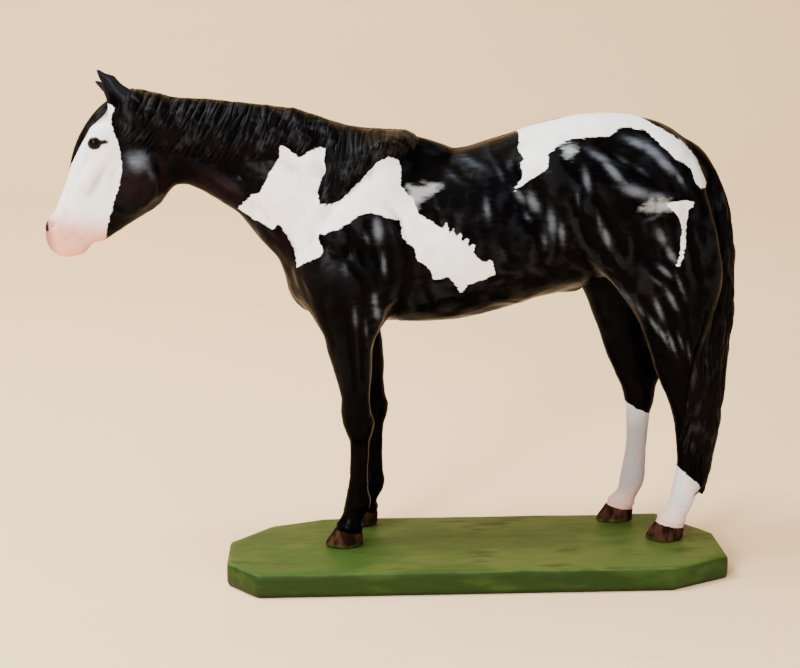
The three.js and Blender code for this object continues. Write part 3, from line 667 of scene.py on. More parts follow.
def highlight_strokes(clay, spread=1.0):
    """How strongly the painted highlight strokes, widened by a spread, cover each point, from 0 to 1."""
    strongest = np.zeros(len(clay.co))
    for x, z, angle, length, width, strength in HIGHLIGHT_STROKES:
        offset = clay.co[:, [0, 2]] - (x, z)
        c, s = math.cos(math.radians(angle)), math.sin(math.radians(angle))
        along, across = offset @ (c, s) / spread, offset @ (-s, c) / spread
        stroke = np.exp(-((along / length) ** 2) - (across / width) ** 2)
        strongest = np.maximum(strongest, strength * stroke)
    return strongest * smoothstep(0.1, 0.4, np.abs(clay.normals[:, 1]))


def pull(clay, place, shift, width):
    """Draws a tip of clay out by a shift."""
    share = np.exp(-((clay.co - place) ** 2).sum(1) / width**2)
    clay.co += share[:, None] * np.array(shift)


# The horse's surface, from nose to tail


def carve_head(clay, side):
    """Cheek, jaw, veins and bridge of the face, then the eye's socket, the nostril and the mouth."""
    lump(clay, -80.4, side * 6.6, 96.4, 0.6, 3.6)
    groove(clay, side, [(-79.6, 104.5), (-76.6, 99), (-75.6, 93), (-77.6, 88.6)], 0.7, 1.3)
    fold(clay, side, [(-80.5, 84.6), (-77.6, 89.5), (-77.4, 96), (-80, 102)], 0.35, 1.4)
    groove(clay, side, [(-84.5, 97.5), (-87.5, 93), (-88, 87.5), (-85.4, 84.5)], 0.35, 1.0)
    groove(clay, side, [(-87.8, 99.8), (-91.6, 94), (-94.4, 89.4)], -0.35, 0.6)
    groove(clay, side, [(-88.6, 97.2), (-92.0, 91.6), (-94.6, 87.2)], 0.3, 0.7)
    groove(clay, side, [(-93.4, 98.6), (-96.6, 92), (-99.4, 86.6), (-101.4, 84.2)], 0.28, 0.8)
    groove(clay, side, [(-96.4, 88.4), (-99.2, 84.4), (-99.8, 80.6)], 0.22, 0.8)
    # Eye socket, brow and lids.
    lump(clay, -91.3, side * 6.2, 101.5, -0.55, 1.7)
    ring(clay, side, -91.3, 101.6, 1.75, 0.34, 0.42, squash=0.72, lean=-0.35)
    groove(clay, side, [(-93.6, 103.6), (-91.2, 104.6), (-88.4, 103.4)], -0.45, 0.7)
    groove(clay, side, [(-93.0, 99.2), (-90.6, 98.6), (-88.4, 99.8)], 0.2, 0.5)
    # Nostril, mouth and chin.
    groove(clay, side, [(-104.4, 82.2), (-103.6, 80.9), (-102.6, 80.9), (-102.4, 81.7)], 0.9, 0.55, taper=0)
    ring(clay, side, -103.2, 81.4, 1.5, 0.3, 0.5, squash=0.9)
    groove(clay, side, [(-103.8, 76.4), (-101.4, 76.8), (-99.0, 77.9), (-96.9, 79.5)], 0.3, 0.5)
    groove(clay, side, [(-102.2, 78.4), (-99.6, 79.6), (-98.2, 81.6)], 0.18, 0.6)
    groove(clay, side, [(-97.0, 76.8), (-95.2, 78.0), (-93.0, 79.6)], 0.25, 0.7)


def tilt_far_ear(clay):
    """Turns the far ear forwards, so that its tip shows before the near one."""
    co = clay.co
    share = smoothstep(110, 113, co[:, 2]) * smoothstep(0.6, 2.2, co[:, 1]) * (co[:, 0] < -80)
    co[:, 0] -= share * 0.3 * (co[:, 2] - 110)
    co[:, 2] -= share * 0.3 * np.clip(co[:, 2] - 110.5, 0, None)


def carve_ear(clay, side):
    """Hollows the cup of an ear."""
    middle = [(-86.6, side * 5.4, 110.8), (-88.0, side * 5.0, 113.4), (-89.6, side * 4.4, 116.2)]
    d, share, _ = clay.line_distance(curve_through(middle, 12), plane=False)
    width = 1.5 - 0.8 * share
    out = smoothstep(0.0, 0.5, clay.normals[:, 1] * side - 0.35 * clay.normals[:, 0])
    clay.push(-0.45 * np.exp(-((d / width) ** 2)) * out)


def carve_forehand(clay, side):
    """Neck, shoulder, breast and foreleg."""
    step = 0 if side == NEAR else FAR_FORE_STEP

    def leg(points):
        return [(x + fore_shift(z, step), z) for x, z in points]

    groove(clay, side, [(-75, 94), (-65, 91.4), (-55, 86.4), (-47.5, 79), (-44.5, 74)], 0.5, 1.4)
    fold(clay, side, [(-43, 74), (-39.5, 83), (-33, 91), (-25.5, 97)], 0.45, 2.0)
    groove(clay, side, [(-58, 99), (-49, 96), (-41, 91), (-37, 85)], 0.25, 2.0)
    groove(clay, side, [(-74, 98.5), (-67, 96), (-60, 91.4), (-55, 87)], -0.4, 0.8)
    groove(clay, side, [(-71, 95.2), (-64, 92), (-58, 87.6)], 0.3, 0.7)
    fold(clay, side, [(-23.5, 59.5), (-19.6, 66), (-18.4, 75), (-20.4, 83), (-24.5, 87)], 0.6, 1.5)
    groove(clay, side, [(-36.4, 77), (-32.4, 73.6), (-28.6, 70), (-26.6, 64)], 0.7, 0.9)
    groove(clay, side, [(-27, 84), (-25, 78), (-23.6, 71)], 0.5, 0.85)
    groove(clay, side, [(-33, 85), (-31, 78.6), (-33.6, 72)], 0.45, 1.1)
    lump(clay, -40.6, side * 9.4, 71, 0.5, 2.6)
    lump(clay, -31.5, side * 13, 66.5, 0.35, 3.4)
    lump(clay, -24.6, side * 10.6, 59.6, 0.6, 1.7)
    groove(clay, side, leg([(-22.6, 62.4), (-22.2, 58.6), (-24.6, 56.4)]), 0.5, 0.8)
    groove(clay, side, leg([(-37.6, 64), (-36.6, 57.5), (-33.8, 52)]), 0.35, 1.0)
    groove(clay, side, leg([(-31.8, 62), (-30.9, 53), (-30.2, 45), (-30, 40)]), 0.8, 0.7)
    groove(clay, side, leg([(-28.6, 59), (-28.5, 51), (-28.4, 43)]), 0.6, 0.55)
    groove(clay, side, leg([(-34.6, 60), (-33.5, 50), (-32, 41.5)]), -0.5, 0.8)
    groove(clay, side, leg([(-26.4, 56), (-27, 47), (-27.2, 38)]), -0.25, 0.5)
    # Knee, tendon and fetlock.
    lump(clay, -31.6 + step, side * 8.6, 36.6, 0.35, 1.6)
    lump(clay, -31.6 + step, side * 8.8, 31.8, 0.35, 1.5)
    groove(clay, side, leg([(-33.2, 34), (-30.4, 33.7), (-27.4, 34)]), 0.28, 0.55)
    groove(clay, side, leg([(-29.3, 37.6), (-28.6, 33), (-28.2, 29.6)]), 0.3, 0.6)
    groove(clay, side, leg([(-28.5, 28.6), (-28.5, 22), (-28.7, 15.4)]), 0.42, 0.5)
    groove(clay, side, leg([(-29.7, 27), (-29.8, 21), (-29.9, 16)]), -0.15, 0.5)
    lump(clay, -28.9 + step, side * 8.6, 11.4, 0.3, 1.2)
    groove(clay, side, leg([(-31.4, 9.6), (-29.8, 8.6), (-28.2, 8.8)]), 0.3, 0.6)


def carve_barrel(clay, side):
    """Ribs, belly and flank."""
    for x, depth in ((-13.5, 0.12), (-9.5, 0.16), (-5.5, 0.16), (-1.5, 0.14), (2.5, 0.12), (6.5, 0.1)):
        groove(clay, side, [(x + 1.5, 92), (x - 1.2, 83), (x - 1.0, 74), (x + 1, 67)], depth, 1.1)
    groove(clay, side, [(-16, 61), (-8, 62.5), (0, 65.5), (8, 68.5)], 0.25, 1.6)
    lump(clay, 11.5, side * 17, 86, -0.9, 5.2)
    groove(clay, side, [(6, 97), (9.5, 90), (11.5, 82), (16, 75)], 0.4, 1.6)
    groove(clay, side, [(12, 94), (15.4, 87.6), (18, 80.5), (22.6, 74)], 0.45, 1.3)
    groove(clay, side, [(-12, 97.4), (-2, 97.6), (7, 99.4), (15, 101.6)], 0.2, 1.6)


def carve_hindquarter(clay, side):
    """Hip, thigh, buttock and hind leg."""
    step = NEAR_HIND_STEP if side == NEAR else 0

    def leg(points):
        return [(x + hind_shift(z, step), z) for x, z in points]

    lump(clay, 16.4, side * 16, 95.4, 0.7, 2.8)
    fold(clay, side, leg([(31, 62.5), (25.6, 71), (22.6, 80), (20.2, 90)]), 0.6, 1.8)
    groove(clay, side, leg([(15, 78), (20, 72.5), (26, 68.6), (31.5, 64)]), 0.5, 1.2)
    groove(clay, side, leg([(18, 98), (24.6, 92), (29, 84), (31.4, 75)]), 0.65, 1.2)
    groove(clay, side, leg([(26, 101.5), (34, 97.6), (40.6, 91), (43.6, 83)]), 0.55, 1.3)
    groove(clay, side, leg([(41.4, 92), (41.2, 83), (40.4, 74), (40.8, 65.4)]), 0.8, 1.0)
    fold(clay, side, leg([(44.4, 62), (45.6, 72), (47, 82), (47, 92)]), 0.35, 1.3)
    groove(clay, side, leg([(35.4, 84), (34.6, 76), (36, 68.5)]), 0.5, 1.1)
    lump(clay, 31.8 + hind_shift(67, step), side * 14.6, 67, 0.55, 2.6)
    groove(clay, side, leg([(36.8, 66), (38, 57.5), (40.6, 50), (43, 44)]), 0.8, 0.75)
    groove(clay, side, leg([(40.6, 63), (41.6, 56), (43.2, 50)]), 0.7, 0.6)
    groove(clay, side, leg([(34.8, 60.5), (36.8, 52.6), (39.6, 46)]), -0.5, 0.8)
    groove(clay, side, leg([(44.2, 52), (45.4, 46.4), (46.4, 41.6)]), 0.6, 0.7)
    # Hock, tendon and fetlock.
    lump(clay, 42.2 + hind_shift(37, step), side * 9.6, 37, 0.4, 1.6)
    lump(clay, 46.8 + hind_shift(39, step), side * 8.6, 39.4, 0.35, 1.1)
    groove(clay, side, leg([(45.0, 38), (44.6, 33.8), (44.8, 30.6)]), 0.35, 0.6)
    groove(clay, side, leg([(44.6, 29), (44.4, 22), (43.9, 16)]), 0.42, 0.5)
    lump(clay, 43.4 + step, side * 8.2, 12.0, 0.3, 1.2)
    groove(clay, side, leg([(41.2, 9.8), (42.4, 8.6), (43.8, 8.8)]), 0.3, 0.6)


def feet():
    """Each foot's side, the x of its toe, and the half distance between the hooves there."""
    return [
        (NEAR, FORE_TOE, FORE_STANCE),
        (FAR, FORE_TOE + FAR_FORE_STEP, FORE_STANCE),
        (NEAR, HIND_TOE + NEAR_HIND_STEP, HIND_STANCE),
        (FAR, HIND_TOE, HIND_STANCE),
    ]


def hoof_top(co, toe):
    """How far above the slanting top of a hoof each point is."""
    return co[:, 2] - (5.0 - 0.17 * (co[:, 0] - toe))


def carve_hooves(clay):
    """The step at the top of each hoof and the band of skin above it."""
    for side, toe, stance in feet():
        near = (np.abs(clay.co[:, 0] - toe - 4.6) < 8) & (np.abs(clay.co[:, 1] - side * stance) < 6)
        above = hoof_top(clay.co, toe)
        clay.push(-0.32 * np.exp(-(((above - 0.35) / 0.38) ** 2)) * near)
        clay.push(0.22 * np.exp(-(((above - 1.25) / 0.6) ** 2)) * near)


def carve_middle(clay):
    """Folds on the middle line: breast, belly seam, chin groove and spine."""
    for path, depth, width in (
        ([(-47.6, 0, 77), (-47.6, 0, 70), (-45, 0, 62), (-40, 0, 58)], 0.7, 1.4),
        ([(-98.6, 0, 74.0), (-94, 0, 77.6), (-88, 0, 80.4)], 0.5, 1.2),
        ([(-6, 0, 100), (6, 0, 101.6), (18, 0, 105.4), (32, 0, 107.6), (44, 0, 105)], 0.18, 1.1),
    ):
        d, share, _ = clay.line_distance(curve_through(path, 20), plane=False)
        clay.push(-depth * np.exp(-((d / width) ** 2)) * np.sin(np.pi * share) ** 0.5)


def worked_surface(clay, size, height, seed):
    """Leaves the faint unevenness of hand-worked clay, from sums of slanting waves."""
    rng = np.random.default_rng(seed)
    total = np.zeros(len(clay.co))
    for _ in range(14):
        direction = rng.normal(size=3)
        direction *= 2 * math.pi / (size * rng.uniform(0.7, 1.6)) / np.linalg.norm(direction)
        total += np.sin(clay.co @ direction + rng.uniform(0, 6.28))
    clay.push(height * total / 3.7)


def store(piece, name, values):
    """Keeps a number for each point of a piece, for its paint to read."""
    attribute = piece.data.attributes.get(name) or piece.data.attributes.new(name, "FLOAT", "POINT")
    attribute.data.foreach_set("value", values.astype(np.float32))


def in_any(outlines, side_view):
    """Distance to the nearest of some outlines, positive inside one."""
    return np.maximum.reduce([inside_distance(side_view, outline) for outline in outlines])


def paint_plan(piece):
    """Stores where each paint lies, as distances in millimetres, positive inside the painted place."""
    clay = Clay(piece)
    co = clay.co
    side_view = co[:, [0, 2]]
    unit = scale() * 1000
    # White: the face up to the poll, without the ears, then the patches, and the hind socks off the tail.
    edge = np.array(FACE_EDGE[::-1])
    face = np.interp(co[:, 2], edge[:, 1], edge[:, 0]) - co[:, 0]
    face = np.minimum(face, 116 - co[:, 2])
    ear = smoothstep(109.8, 111.2, co[:, 2] + 0.15 * (co[:, 0] + 88))
    face = face * (1 - ear) - 3 * ear
    near = np.maximum(in_any((SHOULDER_PATCH, CROUP_PATCH, BUTTOCK_PATCH), side_view), OUTSIDE)
    near = np.minimum(near, 1.2 - co[:, 1])
    wisp = np.minimum(in_any(WISPS, side_view), -co[:, 1])
    far = np.minimum(inside_distance(side_view, FAR_PATCH), co[:, 1] - 2)
    socks = np.full(len(co), OUTSIDE)
    for side, toe, stance in feet()[2:]:
        beside = 7 - np.abs(co[:, 1] - side * stance)
        reach = np.minimum(beside, 16 - np.abs(co[:, 0] - toe - 6))
        top = 17.8 - 0.85 * (co[:, 0] - 53) if side == NEAR else 31.0 - 0.5 * (co[:, 0] - 43)
        socks = np.maximum(socks, np.minimum(reach, top - co[:, 2]))
    tail = curve_through(TAIL_LINE, 40)
    in_tail, share, _ = clay.line_distance(tail[:, :3], plane=False)
    in_tail -= np.interp(share * 39, range(40), tail[:, 3]) + 0.4
    socks = np.minimum(socks, in_tail)
    white = np.maximum.reduce([face, near, far, socks])
    store(piece, "wisp", wisp * unit)
    store(piece, "white", white * unit)
    # Pink skin, hooves and dark skin.
    muzzle = np.array(MUZZLE_EDGE)
    skin = np.interp(co[:, 0], muzzle[:, 0], muzzle[:, 1]) - co[:, 2]
    store(piece, "pink", np.minimum(skin, -84 - co[:, 0]) * unit)
    hoof = np.full(len(co), OUTSIDE)
    for side, toe, stance in feet():
        near_foot = (np.abs(co[:, 0] - toe - 4.6) < 9) & (np.abs(co[:, 1] - side * stance) < 6)
        hoof = np.where(near_foot, -hoof_top(co, toe), hoof)
    store(piece, "hoof", hoof * unit)
    dark = np.full(len(co), OUTSIDE)
    for path, width in DARK_SKIN:
        d, _, _ = clay.line_distance(path)
        dark = np.maximum(dark, np.where(np.abs(co[:, 1]) > 0.8, width - d, OUTSIDE))
    store(piece, "dark", dark * unit)
    # Where the painted highlights go, fainter on the far side.
    store(piece, "painted_highlight", highlight_strokes(clay, 1.35) * np.where(co[:, 1] < 0, 1, 0.6))
    # Raised and sunken places, against a softened copy of the surface, for painted highlights on the raised
    # and painted shade in the sunken.
    soft = co.copy()
    for _ in range(24):
        soft += 0.5 * (clay.spread(soft) - soft)
    store(piece, "relief", ((co - soft) * clay.normals).sum(1) * unit)


def coat_paint():
    """Black with painted highlights, then white with painted shade, pink skin, the hooves and the dark skin.
    """
    paints = settings()[1]
    paint = Paint("Horse paint")
    relief = paint.attribute("relief")
    x, y, z = paint.axes()
    hair = paint.noise(0.0016, paint.place((0.35, 1, 1), (0, -0.6, 0)), detail=4)
    fine = paint.noise(0.0009, detail=2)
    cloud = paint.noise(0.022, detail=3)
    broad = paint.noise(0.055, detail=2)
    edge = (hair - 0.5) * 2.2 + (fine - 0.5) * 0.7
    white = paint.between(paint.attribute("white") + edge, -0.25, 0.25)
    wisp = paint.between(paint.attribute("wisp") + (hair - 0.5) * 6, -1.6, 2.2) * 0.5
    pink = paint.between(paint.attribute("pink") + (cloud - 0.5) * 5, -6.0, 8.0)
    hoof = paint.between(paint.attribute("hoof") + (fine - 0.5) * 0.8, -0.25, 0.25)
    dark = paint.between(paint.attribute("dark") + (fine - 0.5) * 0.5, -0.45, 0.45)
    raised = paint.between(relief + (hair - 0.5) * 0.2, 0.03, 0.3)
    sunk = paint.between(relief * -1, 0.02, 0.4)
    neck = paint.between(x * -1, 0.055, 0.10)
    brown_share = paint.between(cloud + (hair - 0.5) * 0.15, 0.42, 0.72) * (0.06 + 0.8 * neck)
    # Painted highlights in a cool grey on the raised forms, fading out low on the legs.
    highlight_share = raised * (0.05 + 0.28 * paint.between(broad, 0.42, 0.62)) * paint.between(z, 0.06, 0.14)
    # The black coat, with painted highlights brushed on in two strengths, a dim halo and a pale core.
    black = paint.mix(brown_share, paints.black, paints.brown)
    black = paint.mix(highlight_share, black, paints.blue)
    painted_highlight = paint.attribute("painted_highlight")
    brushed = (hair - 0.5) * 0.5 + (cloud - 0.5) * 0.5
    black = paint.mix(paint.between(painted_highlight + brushed, 0.05, 0.7) * 0.7, black, paints.blue)
    black = paint.mix(paint.between(painted_highlight + brushed, 0.3, 1.15), black, paints.painted_highlight)
    # The white coat with painted shade in its grooves, in soft clouds, down the legs and more on the far
    # hind sock, and pink at the coronets and the muzzle.
    light = paint.mix(sunk * 0.8 + paint.between(cloud, 0.48, 0.72) * 0.26, paints.white, paints.shade)
    leg = paint.between(z * -1 + (cloud - 0.5) * 0.02, -0.08, -0.05)
    light = paint.mix(leg * 0.6, light, paints.shade)
    light = paint.mix(leg * paint.between(y, 0.011, 0.018) * 0.85, light, darker(paints.shade, 0.5))
    coronet = paint.between(z * -1 + (cloud - 0.5) * 0.01, -0.03, -0.018) * 0.6
    light = paint.mix(coronet, light, paints.pink)
    # Painted shade: the pink is darker in the muzzle's grooves.
    skin = paint.mix(sunk * 0.7, paints.pink, darker(paints.pink, 0.6))
    light = paint.mix(pink, light, skin)
    snout = paint.between(x * -1 + (cloud - 0.5) * 0.002, 0.1745, 0.1795) * pink * 0.75
    light = paint.mix(snout, light, paints.mauve)
    # The hooves are streaked, with the base's green splashed on their rims.
    coat = paint.mix(wisp, black, paints.thin)
    coat = paint.mix(white, coat, light)
    streaks = paint.between(paint.noise(0.003, paint.place((1, 1, 0.3))), 0.4, 0.62)
    horn = paint.mix(streaks, darker(paints.hoof, 0.2), paints.hoof)
    splash = paint.between(z * -1 + (hair - 0.5) * 0.006, -0.013, -0.0105) * 0.4
    coat = paint.mix(hoof, coat, paint.mix(splash, horn, paints.olive))
    coat = paint.mix(dark, coat, paints.skin)
    paint.bump(hair * 0.25 + fine * 0.12 + paint.noise(0.005, detail=2), 0.35, 0.0005)
    return paint.finish(coat, 0.24 + 0.08 * cloud + 0.18 * white + 0.2 * hoof, COAT_REFLECTION)


def hair_paint():
    """The paint that the mane, the forelock and the tail share."""
    made = bpy.data.materials.get("Mane and tail paint")
    if made:
        return made
    paints = settings()[1]
    paint = Paint("Mane and tail paint")
    streak = paint.noise(0.0022, paint.place((0.5, 1, 0.22)), detail=3)
    cloud = paint.noise(0.016, detail=2)
    gold = paint.attribute("gold")
    warm = paint.between(streak + (cloud - 0.5) * 0.5, 0.5, 0.8) * 0.6
    shade = paint.mix(warm, paints.black, paints.brown)
    shade = paint.mix(gold * paint.between(streak, 0.4, 0.65), shade, paints.gold)
    # Painted highlights: cool grey glints along some strands.
    shade = paint.mix(paint.between(streak + (cloud - 0.5) * 0.4, 0.52, 0.75) * 0.55, shade, paints.blue)
    paint.bump(streak, 0.4, 0.0003)
    return paint.finish(shade, 0.3 + 0.16 * streak, HAIR_REFLECTION)


class STATUE_OT_body(bpy.types.Operator):
    """Carve and paint the horse's body"""

    bl_idname = "statue.body"
    bl_label = "Body"

    def execute(self, context):
        sizes = settings()[0]
        piece = copy_of("horse", "horse_body")
        apply_modifier(piece, "REMESH", mode="VOXEL", voxel_size=sizes.carving)
        clay = Clay(piece)
        off_ears = 1 - 0.85 * smoothstep(110.5, 113, clay.co[:, 2]) * (clay.co[:, 0] < -82)
        clay.relax(30, where=off_ears)
        # The near ear's tip and its rear edge.
        pull(clay, (-90.4, -3.6, 117.6), (-0.6, 0, 1.3), 1.6)
        pull(clay, (-87.2, -4.3, 115.8), (0.6, 0, 0.9), 1.8)
        tilt_far_ear(clay)
        for side in (NEAR, FAR):
            carve_head(clay, side)
            carve_ear(clay, side)
            carve_forehand(clay, side)
            carve_barrel(clay, side)
            carve_hindquarter(clay, side)
            clay.find_normals()
        carve_middle(clay)
        carve_hooves(clay)
        clay.find_normals()
        modelling_strokes(clay, MODELLING_STROKES, seed=21)
        clay.push(0.4 * highlight_strokes(clay))
        clay.relax(2, keep_volume=False)
        worked_surface(clay, size=5.5, height=0.07, seed=3)
        worked_surface(clay, size=2.2, height=0.02, seed=5)
        clay.write()
        triangles = 2 * len(piece.data.polygons)
        if triangles > sizes.body_triangles:
            apply_modifier(piece, "DECIMATE", ratio=sizes.body_triangles / triangles)
        paint_plan(piece)
        finish_piece(piece, coat_paint(), "horse", "horse")
        return {"FINISHED"}


def body_tree():
    piece = bpy.data.objects["horse_body"]
    return BVHTree.FromPolygons(
        [v.co for v in piece.data.vertices], [tuple(p.vertices) for p in piece.data.polygons],
    )


def hair_piece(name, locks, gold=None):
    """Makes one mesh of many locks.

    A lock is a list of places with the outward direction, half width and half thickness at each, in
    hundredths. Its section is a flat oval with a few strands, and it closes to a point at both ends.
    """
    origin = np.array(spot(0, 0, 0))
    corners = SECTION_CORNERS
    turns = 2 * np.pi * np.arange(corners) / corners
    points, faces = [], []
    for number, (places, outward, width, thickness) in enumerate(locks):
        places = np.array(places, float)
        outward = np.array(outward, float)
        along = np.gradient(places, axis=0)
        along /= np.linalg.norm(along, axis=1)[:, None]
        across = np.cross(outward, along)
        across /= np.linalg.norm(across, axis=1)[:, None]
        up = np.cross(along, across)
        strands = 1 + 0.16 * np.cos(4 * turns + number)
        first = len(points)
        points.append(places[0])
        for k in range(1, len(places) - 1):
            section = (
                np.outer(np.cos(turns) * strands, across[k]) * width[k]
                + np.outer(np.sin(turns) * strands, up[k]) * thickness[k]
            )
            points.extend(places[k] + section)
        points.append(places[-1])
        last = len(points) - 1
        rings = len(places) - 2
        for c in range(corners):
            d = (c + 1) % corners
            faces.append((first, first + 1 + d, first + 1 + c))
            for k in range(rings - 1):
                a = first + 1 + k * corners
                faces.append((a + c, a + d, a + corners + d, a + corners + c))
            a = first + 1 + (rings - 1) * corners
            faces.append((a + c, a + d, last))
    mesh = bpy.data.meshes.new(name)
    mesh.from_pydata((np.array(points) * scale() + origin).tolist(), [], faces)
    piece = add_to_scene(name, mesh)
    edit_all(piece, bpy.ops.mesh.normals_make_consistent, inside=False)
    clay = Clay(piece)
    store(piece, "gold", gold(clay.co) if gold else np.zeros(len(clay.co)))
    return piece


def on_surface(tree, guess, lift):
    """A place on the body for a guess, lifted off it, and the way out there.

    A guess well out on the near side is dropped straight onto the body, and any other goes to the
    nearest place.
    """
    x, y, z = guess
    place = None
    if y < NEAR_GUESS:
        place, normal, _, _ = tree.ray_cast(spot(x, -40, z), Vector((0, 1, 0)))
    if place is None or place.y > spot(0, 0, 0).y:
        place, normal, _, _ = tree.find_nearest(spot(x, y, z))
    place = place + normal * lift * scale()
    unit = scale()
    here = (place.x / unit, (place.y - settings()[0].middle) / unit, (place.z - BASE_TOP) / unit)
    return np.array(here), np.array(normal)


def lay_lock(tree, guesses, width, thickness, lift, rng):
    """A lock that follows the body near the guesses, thickest a third of the way down."""
    count = len(guesses)
    t = np.linspace(0, 1, count)
    body = np.sin(np.pi * np.clip(t * 0.7 + 0.2, 0, 1)) ** 0.7 * (1 - t**7)
    rises = lift * np.sin(np.pi * np.clip(t * 0.9 + 0.06, 0, 1)) - 0.25 * (1 - t) ** 6
    places, outward = [], []
    for guess, rise in zip(guesses, rises):
        place, normal = on_surface(tree, guess, rise)
        places.append(place)
        outward.append(normal)
    places, outward = np.array(places), np.array(outward)
    for _ in range(2):
        places[1:-1] = (places[:-2] + 2 * places[1:-1] + places[2:]) / 4
        outward[1:-1] = (outward[:-2] + 2 * outward[1:-1] + outward[2:]) / 4
    swing = 1 + 0.15 * np.sin(9 * t + rng.uniform(0, 6))
    return places, outward, width * body * swing + 0.03, thickness * body + 0.03


class STATUE_OT_mane(bpy.types.Operator):
    """Lay the mane's locks along the near side of the crest"""

    bl_idname = "statue.mane"
    bl_label = "Mane"

    def execute(self, context):
        sizes = settings()[0]
        tree = body_tree()
        rng = np.random.default_rng(11)
        guides = np.array(MANE_GUIDES)
        locks = []
        for share, lift, portion in MANE_LAYERS:
            for s in np.linspace(0, 1, int(sizes.mane_locks * portion)):
                at = s * (len(guides) - 1)
                root, tip_x, tip_z = (np.interp(at, range(len(guides)), guides[:, i]) for i in range(3))
                root += rng.uniform(-0.9, 0.9)
                reach = share * rng.uniform(0.92, 1.04)
                top = tree.ray_cast(spot(root, 0.2, 130), Vector((0, 0, -1)))[0]
                top_z = (top.z - BASE_TOP) / scale()
                wave, phase = rng.uniform(0.1, 0.6), rng.uniform(0, 6.28)
                guesses = []
                for t in np.linspace(0, 1, LOCK_POINTS):
                    u = t * reach
                    bend = wave * math.sin(6.5 * t + phase) * min(1, 3 * t)
                    x = root + (tip_x - root) * u**1.3 + bend
                    z = top_z + (tip_z - top_z) * u
                    guesses.append((x, 0.4 - 5.5 * min(u * 2.6, 1) - 4 * u, z))
                width, thickness = rng.uniform(0.5, 1.25), rng.uniform(0.2, 0.36)
                locks.append(lay_lock(tree, guesses, width, thickness, lift, rng))
        piece = hair_piece("horse_mane", locks, lambda co: smoothstep(GOLD_START, GOLD_FULL, co[:, 0]))
        finish_piece(piece, hair_paint(), "horse")
        return {"FINISHED"}


class STATUE_OT_forelock(bpy.types.Operator):
    """Lay the forelock down the front of the face"""

    bl_idname = "statue.forelock"
    bl_label = "Forelock"

    def execute(self, context):
        tree = body_tree()
        rng = np.random.default_rng(4)
        line = curve_through(FORELOCK_LINE, 24)
        locks = []
        for across in np.linspace(-1, 1, FORELOCK_LOCKS):
            reach = 1 - 0.3 * abs(across) * rng.uniform(0.3, 1.0)
            phase = rng.uniform(0, 6.28)
            guesses = []
            for t in np.linspace(0, 1, LOCK_POINTS):
                x, z = line[int(t * reach * (len(line) - 1))]
                spread = 0.3 + 1.9 * math.sin(math.pi * min(0.1 + 0.9 * t * reach, 1)) ** 0.8
                guesses.append((x, across * spread + 0.15 * math.sin(6 * t + phase) - 0.4 * t, z))
            locks.append(lay_lock(tree, guesses, 0.55, 0.42, 0.35, rng))
        finish_piece(hair_piece("horse_forelock", locks), hair_paint(), "horse")
        return {"FINISHED"}


class STATUE_OT_tail(bpy.types.Operator):
    """Hang the tail's locks around its core and over the back of the near leg"""

    bl_idname = "statue.tail"
    bl_label = "Tail"

    def execute(self, context):
        sizes = settings()[0]
        tree = body_tree()
        rng = np.random.default_rng(7)
        line = curve_through(TAIL_LINE, TAIL_STEPS)
        locks = []
        for i in range(sizes.tail_locks):
            layer = i % 2
            angle = 2 * math.pi * i / sizes.tail_locks + rng.uniform(-0.05, 0.05)
            start, end = rng.uniform(0, 4), (TAIL_STEPS - 1) * rng.uniform(0.74, 0.97)
            turn, phase = rng.uniform(-0.3, 0.3), rng.uniform(0, 6.28)
            t = np.linspace(0, 1, TAIL_POINTS)
            at = start + (end - start) * t
            x, y, z, depth, breadth = (np.interp(at, range(TAIL_STEPS), column) for column in line.T)
            a = angle + turn * t + (0.07 + 0.1 * t) * np.sin(11 * t + phase)
            ripple = np.sin(38 * t + phase) + 0.7 * np.sin(61 * t + 2 * phase)
            swell = 0.95 + 0.05 * layer + 0.045 * ripple * np.minimum(1, 4 * t) - 0.1 * t**6
            places = np.stack([x + depth * swell * np.cos(a), y + breadth * swell * np.sin(a), z], 1)
            outward = np.stack([np.cos(a) * breadth, np.sin(a) * depth, 0 * a], 1)
            body = np.sin(np.pi * np.clip(t * 0.7 + 0.2, 0, 1)) ** 0.6 * (1 - t**5)
            full = body * depth / 5
            locks.append((places, outward, rng.uniform(0.6, 1.0) * full + 0.03, 0.42 * full + 0.03))
        for (root_x, root_z), (tip_x, tip_z) in LEG_LOCKS:
            for _ in range(2):
                phase, aside = rng.uniform(0, 6.28), rng.uniform(-0.5, 0.5)
                guesses = [
                    (
                        root_x + (tip_x - root_x) * t**1.2 + aside + 0.5 * math.sin(7 * t + phase),
                        -15,
                        root_z + (tip_z - root_z) * t + rng.uniform(-0.2, 0.2),
                    )
                    for t in np.linspace(0, 1, LEG_POINTS)
                ]
                locks.append(lay_lock(tree, guesses, rng.uniform(0.5, 0.85), 0.4, 0.35, rng))
        finish_piece(hair_piece("horse_tail", locks), hair_paint(), "horse")
        return {"FINISHED"}


def eye_paint():
    paints = settings()[1]
    paint = Paint("Eye paint")
    tint = paint.mix(paint.noise(0.0012), paints.eye, paints.iris)
    return paint.finish(tint, 0.07 + 0.06 * paint.noise(0.0008), EYE_REFLECTION)


